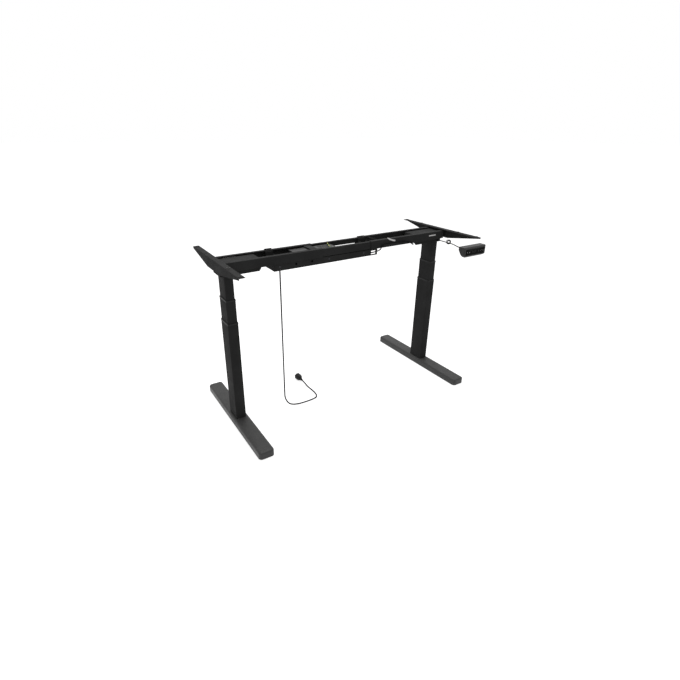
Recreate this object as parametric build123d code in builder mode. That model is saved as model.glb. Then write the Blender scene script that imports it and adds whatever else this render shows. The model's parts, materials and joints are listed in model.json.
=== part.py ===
from build123d import *
import math
import os

os.makedirs("parts", exist_ok=True)

# ---------------------------------------------------------------------------
# A height adjustable desk frame: two three-stage lifting columns on steel feet,
# joined by a beam of telescopic rails that carries the control box, the mains
# lead and the handset. Millimetres. X runs along the desk, Y from the user
# (front, negative) to the wall (rear, positive), Z up. The floor is Z = 0.
# ---------------------------------------------------------------------------

# Overall
LEG_SPACING = 1250.0            # between the two column axes
TOP_Z = 872.0                   # the face that a desktop rests on
FOOT_LENGTH = 716.0
HANDSET_REACH = 440.0           # from the column axes to the front of the keys
# The origin is the middle of the footprint, so the column axes stand behind it.
COLUMN_Y = (HANDSET_REACH - FOOT_LENGTH / 2) / 2
LEG_X = LEG_SPACING / 2

# Feet
FOOT_WIDTH = 78.0
FOOT_TOP = 40.0
FOOT_UNDER = 4.0
FOOT_WALL = 2.5
FOOT_CORNER = 17.0              # of the plan
FOOT_BEND = 10.0                # of the top edges
PAD_REACH = 300.0               # levelling pads in front of and behind the column
PAD_RADIUS = 17.0
PAD_HEIGHT = 8.0
STUD_RADIUS = 4.0

# Columns: (size along X, size along Y) of each square-section stage
TUBE_WALL = 1.5
STAGE_STEP = 5.0                # each stage is this much smaller than the last
OUTER_X, OUTER_Y = 52.0, 97.0
MIDDLE_X, MIDDLE_Y = OUTER_X - STAGE_STEP, OUTER_Y - STAGE_STEP
INNER_X, INNER_Y = MIDDLE_X - STAGE_STEP, MIDDLE_Y - STAGE_STEP
CORNER = 6.0
OUTER_TOP = 566.0
MIDDLE_TOP = 681.0
MIDDLE_LENGTH = 530.0
INNER_LENGTH = 534.0
BASE_PLATE = 6.0
STAGE_PLATE = 5.0
FOOT_BOLT_X, FOOT_BOLT_Y = 13.0, 28.0
GLIDE_THICK = 0.7
GLIDE_HEIGHT = 36.0

# Screw drive, one inside the other
SPINDLE_RADIUS = 6.0
HOLLOW_RADIUS = 9.0
HOLLOW_BORE = 6.35
SCREW_PLAY = 0.05
POST_RADIUS, POST_BORE = 11.0, 9.5
CARRIER_RADIUS, CARRIER_BORE = 13.5, 11.6
LOWER_NUT_Z = (478.0, 506.0)
UPPER_NUT_Z = (640.0, 668.0)
HOLLOW_Z = (245.0, 638.0)
SPINDLE_FOOT_Z = 408.0
COLLAR_THICK = 14.0
KEY_WIDTH = 3.0

# Head of each leg
HEAD_UNDER = 798.0
HEAD_TOP = 856.0
HEAD_HALF_WIDTH = 45.0
HEAD_INNER_X = 467.0            # end of the motor box towards the middle
BRACKET_X = 651.0               # inner edge of the side bracket
HEAD_END_X = 664.0              # outer end of the motor box, under the side bracket
HEAD_WALL = 2.0
FLANGE_PLATE = 5.0
GEARBOX_TOP = 850.0
GEARBOX_INNER_X = 597.0
MOTOR_RADIUS = 25.0
MOTOR_LENGTH = 108.0
MOTOR_Z = 828.0

# Side brackets
BRACKET_WIDTH = 30.0
BRACKET_SHEET = 2.5
BRACKET_REAR, BRACKET_FRONT = 269.5, -316.5
BRACKET_DEEP_REAR, BRACKET_DEEP_FRONT = 70.0, -85.0
BRACKET_DEPTH = 50.0
BRACKET_TIP = 9.0
BRACKET_TAB = 62.0              # half the length of the tab
DESK_HOLE_RADIUS = 3.25
DESK_HOLES_OUTER = 549.0        # spacing of the screws near the tips
DESK_HOLES_INNER = 290.0
BRACKET_BOLTS = [(-26.0, 832.0), (26.0, 832.0), (-26.0, 846.0), (26.0, 846.0)]

# Beam
RAIL_LEFT, RAIL_RIGHT = -410.0, 208.0
RAIL_OUT = 62.5                 # outer face of the fixed rails
RAIL_TOP, RAIL_UNDER = 860.6, 822.6
RAIL_SHEET = 2.0
SLIDE_OUT = 65.5                # outer face of the sliding rails, which wrap the fixed ones
SLIDE_TOP, SLIDE_UNDER = 863.2, 820.0
SLIDE_SHEET = 1.8
SLIDE_END_X = 146.0             # inner end of the sliding rails
LOCK_PLATES = {-1: (-401.0, -364.0, 868.0), 1: (146.0, 190.0, 865.4)}
BRACE_HALF = 41.6
DEEP_BRACES = [(-384.0, 38.0), (160.0, 40.0)]
STRAP_X, STRAP_WIDTH = -178.5, 25.0
END_PLATE_X = 205.5
REAR_WINDOW = (-20.0, 132.0, 832.0)     # left end, right end and top of the gap in the rear rail
TRAY_UNDER = 788.0
TRAY_TOP = 819.2
TRAY_RIGHT = 190.0
TRAY_FLOOR_RIGHT = -36.0
TRAY_HANGER = 44.2              # outer face of the hangers, inside the rails' open sides
RAIL_BOLT_X = [-395.0, -350.0, 122.0, 178.0]
TRAY_SCREW_X = [-381.0, -110.0, 100.0]
TRAY_SCREW_Z = 808.0

# Control box
BOX_LEFT, BOX_RIGHT = -284.0, -45.0
BOX_HALF = 38.0
BOX_FLOOR, BOX_RIM, BOX_TOP = 790.0, 850.0, 854.0
BOX_WALL = 2.0

# Mains lead: 7 mm flex from the control box, down through the tray, along the floor
LEAD_DIAMETER = 7.2
LEAD_ROUTE = [
    (BOX_LEFT, -30.0, 825.0),
    (-366.0, -30.0, 825.0),
    (-366.0, -30.0, 50.4),
    (-330.0, -42.0, 3.7),
    (-183.0, -46.0, 3.7),
    (-156.0, -18.6, 3.7),
    (-154.0, 45.0, 3.7),
    (-158.0, 88.0, 3.7),
    (-163.0, 124.0, 19.0),
    (-163.0, 146.0, 19.0),
]
LEAD_HOLE_RADIUS = 6.0
PLUG_RADIUS = 19.0

# Wiring inside the beam
EARTH_DIAMETER = 3.0
EARTH_ROUTE = [
    (-66.0, 24.0, BOX_TOP),
    (-66.0, 24.0, 864.5),
    (-76.0, 2.0, 861.5),
    (-85.0, -29.0, 858.7),
    (-89.0, -44.0, 854.0),
    (-89.0, -46.0, 842.0),
]
MOTOR_CABLE_DIAMETER = 6.0
LEFT_MOTOR_ROUTE = [
    (BOX_LEFT, 22.0, 812.0),
    (-320.0, 22.0, 812.0),
    (-362.0, 34.0, 804.0),
    (-422.0, 34.0, 807.0),
    (-474.0, 30.0, 812.0),
]
RIGHT_MOTOR_ROUTE = [
    (BOX_RIGHT, -12.0, 812.0),
    (-12.0, -12.0, 812.0),
    (30.0, -34.0, 799.0),
    (92.0, -50.0, 797.0),
    (150.0, -52.0, 799.0),
    (189.0, -52.0, 801.0),
    (203.0, -72.0, 812.0),
    (214.0, -70.5, 833.0),
    (241.0, -70.0, 840.5),
    (320.0, -69.5, 839.0),
    (394.0, -69.6, 834.0),
    (437.0, -72.5, 812.5),
    (447.0, -43.0, 808.0),
    (458.0, -31.5, 811.0),
    (476.0, -30.0, 812.0),
]

# Handset and its cable
HANDSET_X = (428.0, 578.0)
HANDSET_BACK = -400.0
HANDSET_UNDER = 822.0
HANDSET_CORNER = 18.0
HANDSET_FACE_Y = -439.0
KEY_Z = 848.0
KEY_TRAVEL = 1.0
KEYS = [("up", 448.0), ("down", 464.0), ("one", 528.0), ("two", 543.0), ("store", 558.0)]
KEY_RADIUS = 5.0
FACE_PLATE = 1.5
HANDSET_HOLES = 110.0
HANDSET_HOLE_RADIUS = 1.6
CABLE_DIAMETER = 4.5
CABLE_ROUTE = [
    (640.0, -43.0, 808.0),
    (636.0, -92.0, 811.0),
    (584.0, -180.0, 826.0),
    (530.0, -264.0, 844.0),
    (462.0, -352.0, 861.0),
    (448.0, -376.0, 863.0),
    (448.0, HANDSET_BACK, 863.0),
]


def level(z, x=0.0, y=0.0):
    """A horizontal plane; y is counted from the column axes."""
    return Plane(origin=(x, COLUMN_Y + y, z))


def across(x, y=0.0, z=0.0):
    """A plane facing +X: sketch X runs to the rear, sketch Y up."""
    return Plane(origin=(x, COLUMN_Y + y, z), x_dir=(0, 1, 0), z_dir=(1, 0, 0))


def facing(y, x=0.0, z=0.0):
    """A plane facing the user: sketch X runs to the right, sketch Y up."""
    return Plane(origin=(x, COLUMN_Y + y, z), x_dir=(1, 0, 0), z_dir=(0, -1, 0))


def keep(piece, name):
    """Label a finished piece and write it to its own file."""
    piece.part.label = name
    export_step(piece.part, f"parts/{name}.step")


def block(x_range, y_range, z_range, mode=Mode.ADD):
    """A rectangular block between two corners, in the open part."""
    sizes = [high - low for low, high in (x_range, y_range, z_range)]
    middle = [(low + high) / 2 for low, high in (x_range, y_range, z_range)]
    with Locations(level(middle[2], middle[0], middle[1])):
        Box(*sizes, mode=mode)


def span(a, b):
    """Two limits in rising order, for pieces that are mirrored left to right."""
    return (min(a, b), max(a, b))


def tube_section(size_x, size_y, wall, corner):
    """The section of a rectangular tube, in the open sketch."""
    RectangleRounded(size_x, size_y, corner)
    inner_x = size_x - 2 * wall
    inner_y = size_y - 2 * wall
    RectangleRounded(inner_x, inner_y, corner - wall, mode=Mode.SUBTRACT)


def rod(plane, radius, length, mode=Mode.ADD):
    """A round bar that stands on a plane, or hangs from it if the length is negative."""
    end = Align.MIN if length > 0 else Align.MAX
    with Locations(plane):
        Cylinder(radius, abs(length), align=(Align.CENTER, Align.CENTER, end), mode=mode)


def ring(plane, radius, bore, length):
    """A round tube that stands on a plane, in the open part."""
    rod(plane, radius, length)
    rod(plane, bore, length, mode=Mode.SUBTRACT)


# ---------------------------------------------------------------------------
# Foot: an upturned steel channel with round edges and ends, levelling pads and bolts
# ---------------------------------------------------------------------------

def make_foot(hand, side):
    x = side * LEG_X
    with BuildPart() as foot:
        with BuildSketch(level(FOOT_UNDER, x)):
            RectangleRounded(FOOT_WIDTH, FOOT_LENGTH, FOOT_CORNER)
        extrude(amount=FOOT_TOP - FOOT_UNDER)
        fillet(foot.faces().sort_by(Axis.Z)[-1].edges(), FOOT_BEND)
        inside = FOOT_LENGTH - 2 * (FOOT_WALL + 24.0)
        for inset, ceiling in ((FOOT_WALL, FOOT_TOP - FOOT_BEND), (FOOT_BEND - 2, FOOT_TOP - FOOT_WALL)):
            half = FOOT_WIDTH / 2 - inset
            block((x - half, x + half), (-inside / 2, inside / 2), (FOOT_UNDER - 1, ceiling), mode=Mode.SUBTRACT)
        for way in (-1, 1):
            block((x - FOOT_WIDTH / 2 + 14.0, x + FOOT_WIDTH / 2 - 14.0),
                  span(way * (inside / 2 - 1), way * (FOOT_LENGTH / 2 - FOOT_WALL - 3)),
                  (FOOT_UNDER - 1, FOOT_TOP - 16.0), mode=Mode.SUBTRACT)
        # welded nuts for the levelling studs
        for reach in (-PAD_REACH, PAD_REACH):
            rod(level(28.0, x, reach), 9.0, FOOT_TOP - FOOT_WALL - 28.0)
            rod(level(28.0, x, reach), STUD_RADIUS + SCREW_PLAY, 7.0, mode=Mode.SUBTRACT)
        # holes for the bolts that hold the column
        with BuildSketch(level(FOOT_TOP - 2 * FOOT_WALL, x)):
            with GridLocations(2 * FOOT_BOLT_X, 2 * FOOT_BOLT_Y, 2, 2):
                Circle(4.5)
        extrude(amount=3 * FOOT_WALL, mode=Mode.SUBTRACT)
    keep(foot, f"{hand}_foot")

    with BuildPart() as levelling_feet:
        for reach in (-PAD_REACH, PAD_REACH):
            rod(level(0.0, x, reach), PAD_RADIUS, PAD_HEIGHT)
            rod(level(PAD_HEIGHT, x, reach), STUD_RADIUS, 26.0)
        chamfer(levelling_feet.edges().filter_by(GeomType.CIRCLE).group_by(Axis.Z)[0], 1.0)
    keep(levelling_feet, f"{hand}_levelling_feet")

    with BuildPart() as foot_bolts:
        under_sheet = FOOT_TOP - FOOT_WALL
        with BuildSketch(level(under_sheet - 5.0, x)):
            with GridLocations(2 * FOOT_BOLT_X, 2 * FOOT_BOLT_Y, 2, 2):
                RegularPolygon(7.5, 6)
        extrude(amount=5.0)
        with BuildSketch(level(under_sheet, x)):
            with GridLocations(2 * FOOT_BOLT_X, 2 * FOOT_BOLT_Y, 2, 2):
                Circle(4.0)
        extrude(amount=FOOT_WALL + BASE_PLATE - 0.5)
    keep(foot_bolts, f"{hand}_foot_bolts")


# ---------------------------------------------------------------------------
# Column: three nested tubes with plastic glides between them
# ---------------------------------------------------------------------------

def stage_glides(x, tube_x, tube_y, top):
    """Eight thin pads on the inner faces of a tube, near its mouth, in the open part."""
    inner_x = tube_x / 2 - TUBE_WALL
    inner_y = tube_y / 2 - TUBE_WALL
    for drop in (8.0, 130.0):
        z_range = (top - drop - GLIDE_HEIGHT, top - drop)
        for way in (-1, 1):
            block(span(x + way * (inner_x - GLIDE_THICK), x + way * inner_x), (-22.0, 22.0), z_range)
            block((x - 11.0, x + 11.0), span(way * (inner_y - GLIDE_THICK), way * inner_y), z_range)


def make_column(hand, side):
    x = side * LEG_X
    with BuildPart() as outer_tube:
        with BuildSketch(level(FOOT_TOP, x)):
            tube_section(OUTER_X, OUTER_Y, TUBE_WALL, CORNER)
        extrude(amount=OUTER_TOP - FOOT_TOP)
        with BuildSketch(level(FOOT_TOP, x)):
            RectangleRounded(OUTER_X - TUBE_WALL, OUTER_Y - TUBE_WALL, CORNER - TUBE_WALL)
            with GridLocations(2 * FOOT_BOLT_X, 2 * FOOT_BOLT_Y, 2, 2):
                Circle(4.0 + SCREW_PLAY, mode=Mode.SUBTRACT)
        extrude(amount=BASE_PLATE)
    keep(outer_tube, f"{hand}_outer_tube")

    with BuildPart() as outer_glides:
        stage_glides(x, OUTER_X, OUTER_Y, OUTER_TOP)
    keep(outer_glides, f"{hand}_outer_glides")

    middle_under = MIDDLE_TOP - MIDDLE_LENGTH
    with BuildPart() as middle_tube:
        with BuildSketch(level(middle_under, x)):
            tube_section(MIDDLE_X, MIDDLE_Y, TUBE_WALL, CORNER - 0.5)
        extrude(amount=MIDDLE_LENGTH)
        with BuildSketch(level(middle_under, x)):
            RectangleRounded(MIDDLE_X - TUBE_WALL, MIDDLE_Y - TUBE_WALL, CORNER - 2)
            Circle(POST_RADIUS + 1.0, mode=Mode.SUBTRACT)
        extrude(amount=STAGE_PLATE)
    keep(middle_tube, f"{hand}_middle_tube")

    with BuildPart() as middle_glides:
        stage_glides(x, MIDDLE_X, MIDDLE_Y, MIDDLE_TOP)
    keep(middle_glides, f"{hand}_middle_glides")

    with BuildPart() as inner_tube:
        with BuildSketch(level(HEAD_UNDER - INNER_LENGTH, x)):
            tube_section(INNER_X, INNER_Y, TUBE_WALL, CORNER - 1)
        extrude(amount=INNER_LENGTH)
        # flange that bolts under the gearbox and carries the lower spindle bearing
        with BuildSketch(level(HEAD_UNDER, x)):
            Rectangle(2 * (BRACKET_X - HEAD_WALL - LEG_X), 2 * (HEAD_HALF_WIDTH - HEAD_WALL))
            Circle(SPINDLE_RADIUS + 1.0, mode=Mode.SUBTRACT)
        extrude(amount=FLANGE_PLATE)
    keep(inner_tube, f"{hand}_inner_tube")


# ---------------------------------------------------------------------------
# Screw drive: a keyed spindle turns a hollow spindle, each in a fixed nut
# ---------------------------------------------------------------------------

def make_drive(hand, side):
    x = side * LEG_X
    post_foot = FOOT_TOP + BASE_PLATE
    with BuildPart() as base_post:
        ring(level(post_foot, x), POST_RADIUS, POST_BORE, LOWER_NUT_Z[0] - post_foot)
        ring(level(post_foot, x), POST_RADIUS + 8.0, POST_BORE, 2.5)
    keep(base_post, f"{hand}_base_post")

    with BuildPart() as lower_nut:
        nut_height = LOWER_NUT_Z[1] - LOWER_NUT_Z[0]
        ring(level(LOWER_NUT_Z[0], x), POST_RADIUS, HOLLOW_RADIUS + SCREW_PLAY, nut_height)
    keep(lower_nut, f"{hand}_lower_nut")

    carrier_foot = MIDDLE_TOP - MIDDLE_LENGTH + STAGE_PLATE
    with BuildPart() as carrier_tube:
        carrier_height = UPPER_NUT_Z[0] - carrier_foot
        ring(level(carrier_foot, x), CARRIER_RADIUS, CARRIER_BORE, carrier_height)
        ring(level(carrier_foot, x), CARRIER_RADIUS + 4.0, CARRIER_BORE, 3.0)
        # ledge that the collar of the hollow spindle hangs on
        ledge_z = HOLLOW_Z[1] - COLLAR_THICK - 8.0
        ring(level(ledge_z, x), CARRIER_RADIUS, HOLLOW_RADIUS + 0.4, 7.6)
    keep(carrier_tube, f"{hand}_carrier_tube")

    with BuildPart() as upper_nut:
        nut_height = UPPER_NUT_Z[1] - UPPER_NUT_Z[0]
        ring(level(UPPER_NUT_Z[0], x), CARRIER_RADIUS, SPINDLE_RADIUS + SCREW_PLAY, nut_height)
    keep(upper_nut, f"{hand}_upper_nut")

    with BuildPart() as hollow_spindle:
        ring(level(HOLLOW_Z[0], x), HOLLOW_RADIUS, HOLLOW_BORE, HOLLOW_Z[1] - HOLLOW_Z[0])
        collar_z = HOLLOW_Z[1] - COLLAR_THICK
        ring(level(collar_z, x), CARRIER_BORE - 0.4, HOLLOW_BORE, COLLAR_THICK)
        # key that slides in the groove of the inner spindle
        key_tip = HOLLOW_BORE - 2.0
        half_key = KEY_WIDTH / 2 - 0.3
        block((x + key_tip, x + HOLLOW_BORE + 0.6), (-half_key, half_key), (collar_z, HOLLOW_Z[1]))
    keep(hollow_spindle, f"{hand}_hollow_spindle")

    with BuildPart() as spindle:
        wheel_z = HEAD_UNDER + FLANGE_PLATE + 6.0
        rod(level(SPINDLE_FOOT_Z, x), SPINDLE_RADIUS, GEARBOX_TOP - 6.0 - SPINDLE_FOOT_Z)
        groove_depth = 2.6
        groove_x = (x + SPINDLE_RADIUS - groove_depth, x + SPINDLE_RADIUS + 1.0)
        groove_z = (SPINDLE_FOOT_Z - 1.0, HEAD_UNDER - 10.0)
        block(groove_x, (-KEY_WIDTH / 2, KEY_WIDTH / 2), groove_z, mode=Mode.SUBTRACT)
        # worm wheel
        with BuildSketch(level(wheel_z, x)):
            Circle(17.0)
            with PolarLocations(17.4, 30):
                Circle(0.9, mode=Mode.SUBTRACT)
        extrude(amount=12.0)
    keep(spindle, f"{hand}_spindle")


# ---------------------------------------------------------------------------
# Head: gearbox and motor in a steel box, sliding rails and the side bracket
# ---------------------------------------------------------------------------

def make_head(hand, side):
    x = side * LEG_X
    outer_x = side * (HEAD_END_X - HEAD_WALL)
    gear_inner = side * GEARBOX_INNER_X
    gear_floor = HEAD_UNDER + FLANGE_PLATE
    with BuildPart() as gearbox:
        block(span(gear_inner, outer_x), (-36.0, 36.0), (gear_floor, GEARBOX_TOP))
        fillet(gearbox.edges().filter_by(Axis.Z), 5)
        # wheel chamber, open at the bottom, and the upper bearing bore
        rod(level(gear_floor, x), 18.5, 26.0, mode=Mode.SUBTRACT)
        rod(level(gear_floor, x), SPINDLE_RADIUS + SCREW_PLAY, GEARBOX_TOP - gear_floor - 5.0, mode=Mode.SUBTRACT)
        # motor neck
        rod(across(gear_inner, 0.0, MOTOR_Z), 17.0, -side * 4.0)
        for y, z in BRACKET_BOLTS:
            rod(across(outer_x, y, z), 3.0 + SCREW_PLAY, -side * 11.0, mode=Mode.SUBTRACT)
    keep(gearbox, f"{hand}_gearbox")

    with BuildPart() as motor:
        motor_face = side * (GEARBOX_INNER_X - 4.0)
        rod(across(motor_face, 0.0, MOTOR_Z), MOTOR_RADIUS, -side * MOTOR_LENGTH)
        fillet(motor.edges().filter_by(GeomType.CIRCLE), 2.5)
        cap_face = motor_face - side * MOTOR_LENGTH
        rod(across(cap_face, 0.0, MOTOR_Z), 9.0, -side * 4.0)
    keep(motor, f"{hand}_motor")

    with BuildPart() as head_box:
        inner_x = side * HEAD_INNER_X
        end_x = side * HEAD_END_X
        outline = [(inner_x, HEAD_UNDER + 12), (inner_x + side * 9, HEAD_UNDER), (end_x, HEAD_UNDER),
                   (end_x, HEAD_TOP), (inner_x, HEAD_TOP)]
        with BuildSketch(facing(0.0)):
            with BuildLine():
                Polyline(*outline, close=True)
            make_face()
        extrude(amount=HEAD_HALF_WIDTH, both=True)
        cavity_x = span(inner_x + side * HEAD_WALL, outer_x)
        cavity_y = HEAD_HALF_WIDTH - HEAD_WALL
        block(cavity_x, (-cavity_y, cavity_y), (HEAD_UNDER - 1, HEAD_TOP - HEAD_WALL), mode=Mode.SUBTRACT)
        # bracket bolts, motor cable and, on the right, the handset cable
        for y, z in BRACKET_BOLTS:
            rod(across(end_x + side, y, z), 3.3, -side * 5.0, mode=Mode.SUBTRACT)
        rod(across(inner_x - side, -side * 30.0, 812.0), 7.0, side * 5.0, mode=Mode.SUBTRACT)
        if side > 0:
            rod(facing(-HEAD_HALF_WIDTH - 1, CABLE_ROUTE[0][0], CABLE_ROUTE[0][2]), 3.5, -5.0, mode=Mode.SUBTRACT)
    keep(head_box, f"{hand}_head_box")

    with BuildPart() as slide_rails:
        rail_x = span(side * SLIDE_END_X, side * (HEAD_END_X - 1.0))
        for way in (-1, 1):
            block(rail_x, span(way * HEAD_HALF_WIDTH, way * SLIDE_OUT), (SLIDE_UNDER, SLIDE_TOP))
            hollow_y = span(way * (HEAD_HALF_WIDTH - 1), way * (SLIDE_OUT - SLIDE_SHEET))
            hollow_z = (SLIDE_UNDER + SLIDE_SHEET, SLIDE_TOP - SLIDE_SHEET)
            block((rail_x[0] - 1, rail_x[1] + 1), hollow_y, hollow_z, mode=Mode.SUBTRACT)
        outer_edges = slide_rails.edges().filter_by(Axis.X).group_by(Axis.Y)
        fillet(outer_edges[0] + outer_edges[-1], 1.6)
        # a long window near the column, on the front of the right leg and the rear of the left
        with BuildSketch(facing(-side * SLIDE_OUT, side * 578.0, 845.0)):
            SlotOverall(54.0, 8.0)
        extrude(amount=2 * SLIDE_SHEET, both=True, mode=Mode.SUBTRACT)
        # the plate that locks the width, on the rear rail
        lock_left, lock_right, lock_top = LOCK_PLATES[side]
        block((lock_left, lock_right), (SLIDE_OUT - 9.0, SLIDE_OUT - 1.6), (SLIDE_TOP, lock_top))
    keep(slide_rails, f"{hand}_slide_rails")

    with BuildPart() as side_bracket:
        bracket_mid = side * (BRACKET_X + BRACKET_WIDTH / 2)
        with BuildSketch(across(bracket_mid)):
            with BuildLine():
                Polyline((BRACKET_FRONT, TOP_Z), (BRACKET_REAR, TOP_Z), (BRACKET_REAR, TOP_Z - BRACKET_TIP),
                         (BRACKET_DEEP_REAR, TOP_Z - BRACKET_DEPTH), (BRACKET_DEEP_FRONT, TOP_Z - BRACKET_DEPTH),
                         (BRACKET_FRONT, TOP_Z - BRACKET_TIP), close=True)
            make_face()
        extrude(amount=BRACKET_WIDTH / 2, both=True)
        top_edges = side_bracket.edges().filter_by(Axis.Y).group_by(Axis.Z)[-1]
        fillet(top_edges, 3.0)
        # an angle section: the top and one side, with a tab that sits on the head box's end
        hollow_x = span(side * (BRACKET_X - 1), side * (BRACKET_X + BRACKET_WIDTH - BRACKET_SHEET))
        hollow_z = (TOP_Z - BRACKET_DEPTH - 1, TOP_Z - BRACKET_SHEET)
        block(hollow_x, (BRACKET_FRONT - 1, BRACKET_REAR + 1), hollow_z, mode=Mode.SUBTRACT)
        block(span(end_x, end_x + side * BRACKET_SHEET), (-BRACKET_TAB, BRACKET_TAB),
              (TOP_Z - BRACKET_DEPTH, TOP_Z - BRACKET_SHEET + 0.5))
        middle_y = (BRACKET_FRONT + BRACKET_REAR) / 2
        for spacing in (DESK_HOLES_OUTER, DESK_HOLES_INNER):
            with BuildSketch(level(TOP_Z + 1, bracket_mid, middle_y)):
                with GridLocations(1, spacing, 1, 2):
                    Circle(DESK_HOLE_RADIUS)
            extrude(amount=-BRACKET_SHEET - 2, mode=Mode.SUBTRACT)
        for y, z in BRACKET_BOLTS:
            rod(across(end_x - side, y, z), 3.3, side * 5.0, mode=Mode.SUBTRACT)
    keep(side_bracket, f"{hand}_side_bracket")

    with BuildPart() as bracket_bolts:
        seat_x = side * (HEAD_END_X + BRACKET_SHEET)
        for y, z in BRACKET_BOLTS:
            seat = across(seat_x, y, z)
            rod(seat, 6.0, side * 4.0)
            rod(seat, 3.0, -side * (BRACKET_SHEET + HEAD_WALL + 10.0))
    keep(bracket_bolts, f"{hand}_bracket_bolts")


# ---------------------------------------------------------------------------
# Beam: two fixed rails, braces, the tray and its screws
# ---------------------------------------------------------------------------

def make_rail(name, way):
    """A C-shaped rail with its open side towards the middle of the beam."""
    rail_inner = TRAY_HANGER + 0.6
    with BuildPart() as rail:
        block((RAIL_LEFT, RAIL_RIGHT), span(way * rail_inner, way * RAIL_OUT), (RAIL_UNDER, RAIL_TOP))
        hollow_y = span(way * BRACE_HALF, way * (RAIL_OUT - RAIL_SHEET))
        hollow_z = (RAIL_UNDER + RAIL_SHEET, RAIL_TOP - RAIL_SHEET)
        block((RAIL_LEFT - 1, RAIL_RIGHT + 1), hollow_y, hollow_z, mode=Mode.SUBTRACT)
        if way > 0:
            gap_left, gap_right, gap_top = REAR_WINDOW
            block((gap_left, gap_right), (BRACE_HALF, RAIL_OUT + 1), (RAIL_UNDER - 1, gap_top), mode=Mode.SUBTRACT)
        with BuildSketch(level(RAIL_UNDER - 1, 0.0, way * 53.0)):
            with Locations([(x, 0) for x in hanger_bolts(way)]):
                Circle(3.0 + SCREW_PLAY)
        extrude(amount=RAIL_SHEET + 2, mode=Mode.SUBTRACT)
    keep(rail, name)


def hanger_bolts(way):
    """Where the tray is bolted to a rail: its rear side is shorter."""
    return [x for x in RAIL_BOLT_X if way < 0 or x < TRAY_FLOOR_RIGHT]


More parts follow.
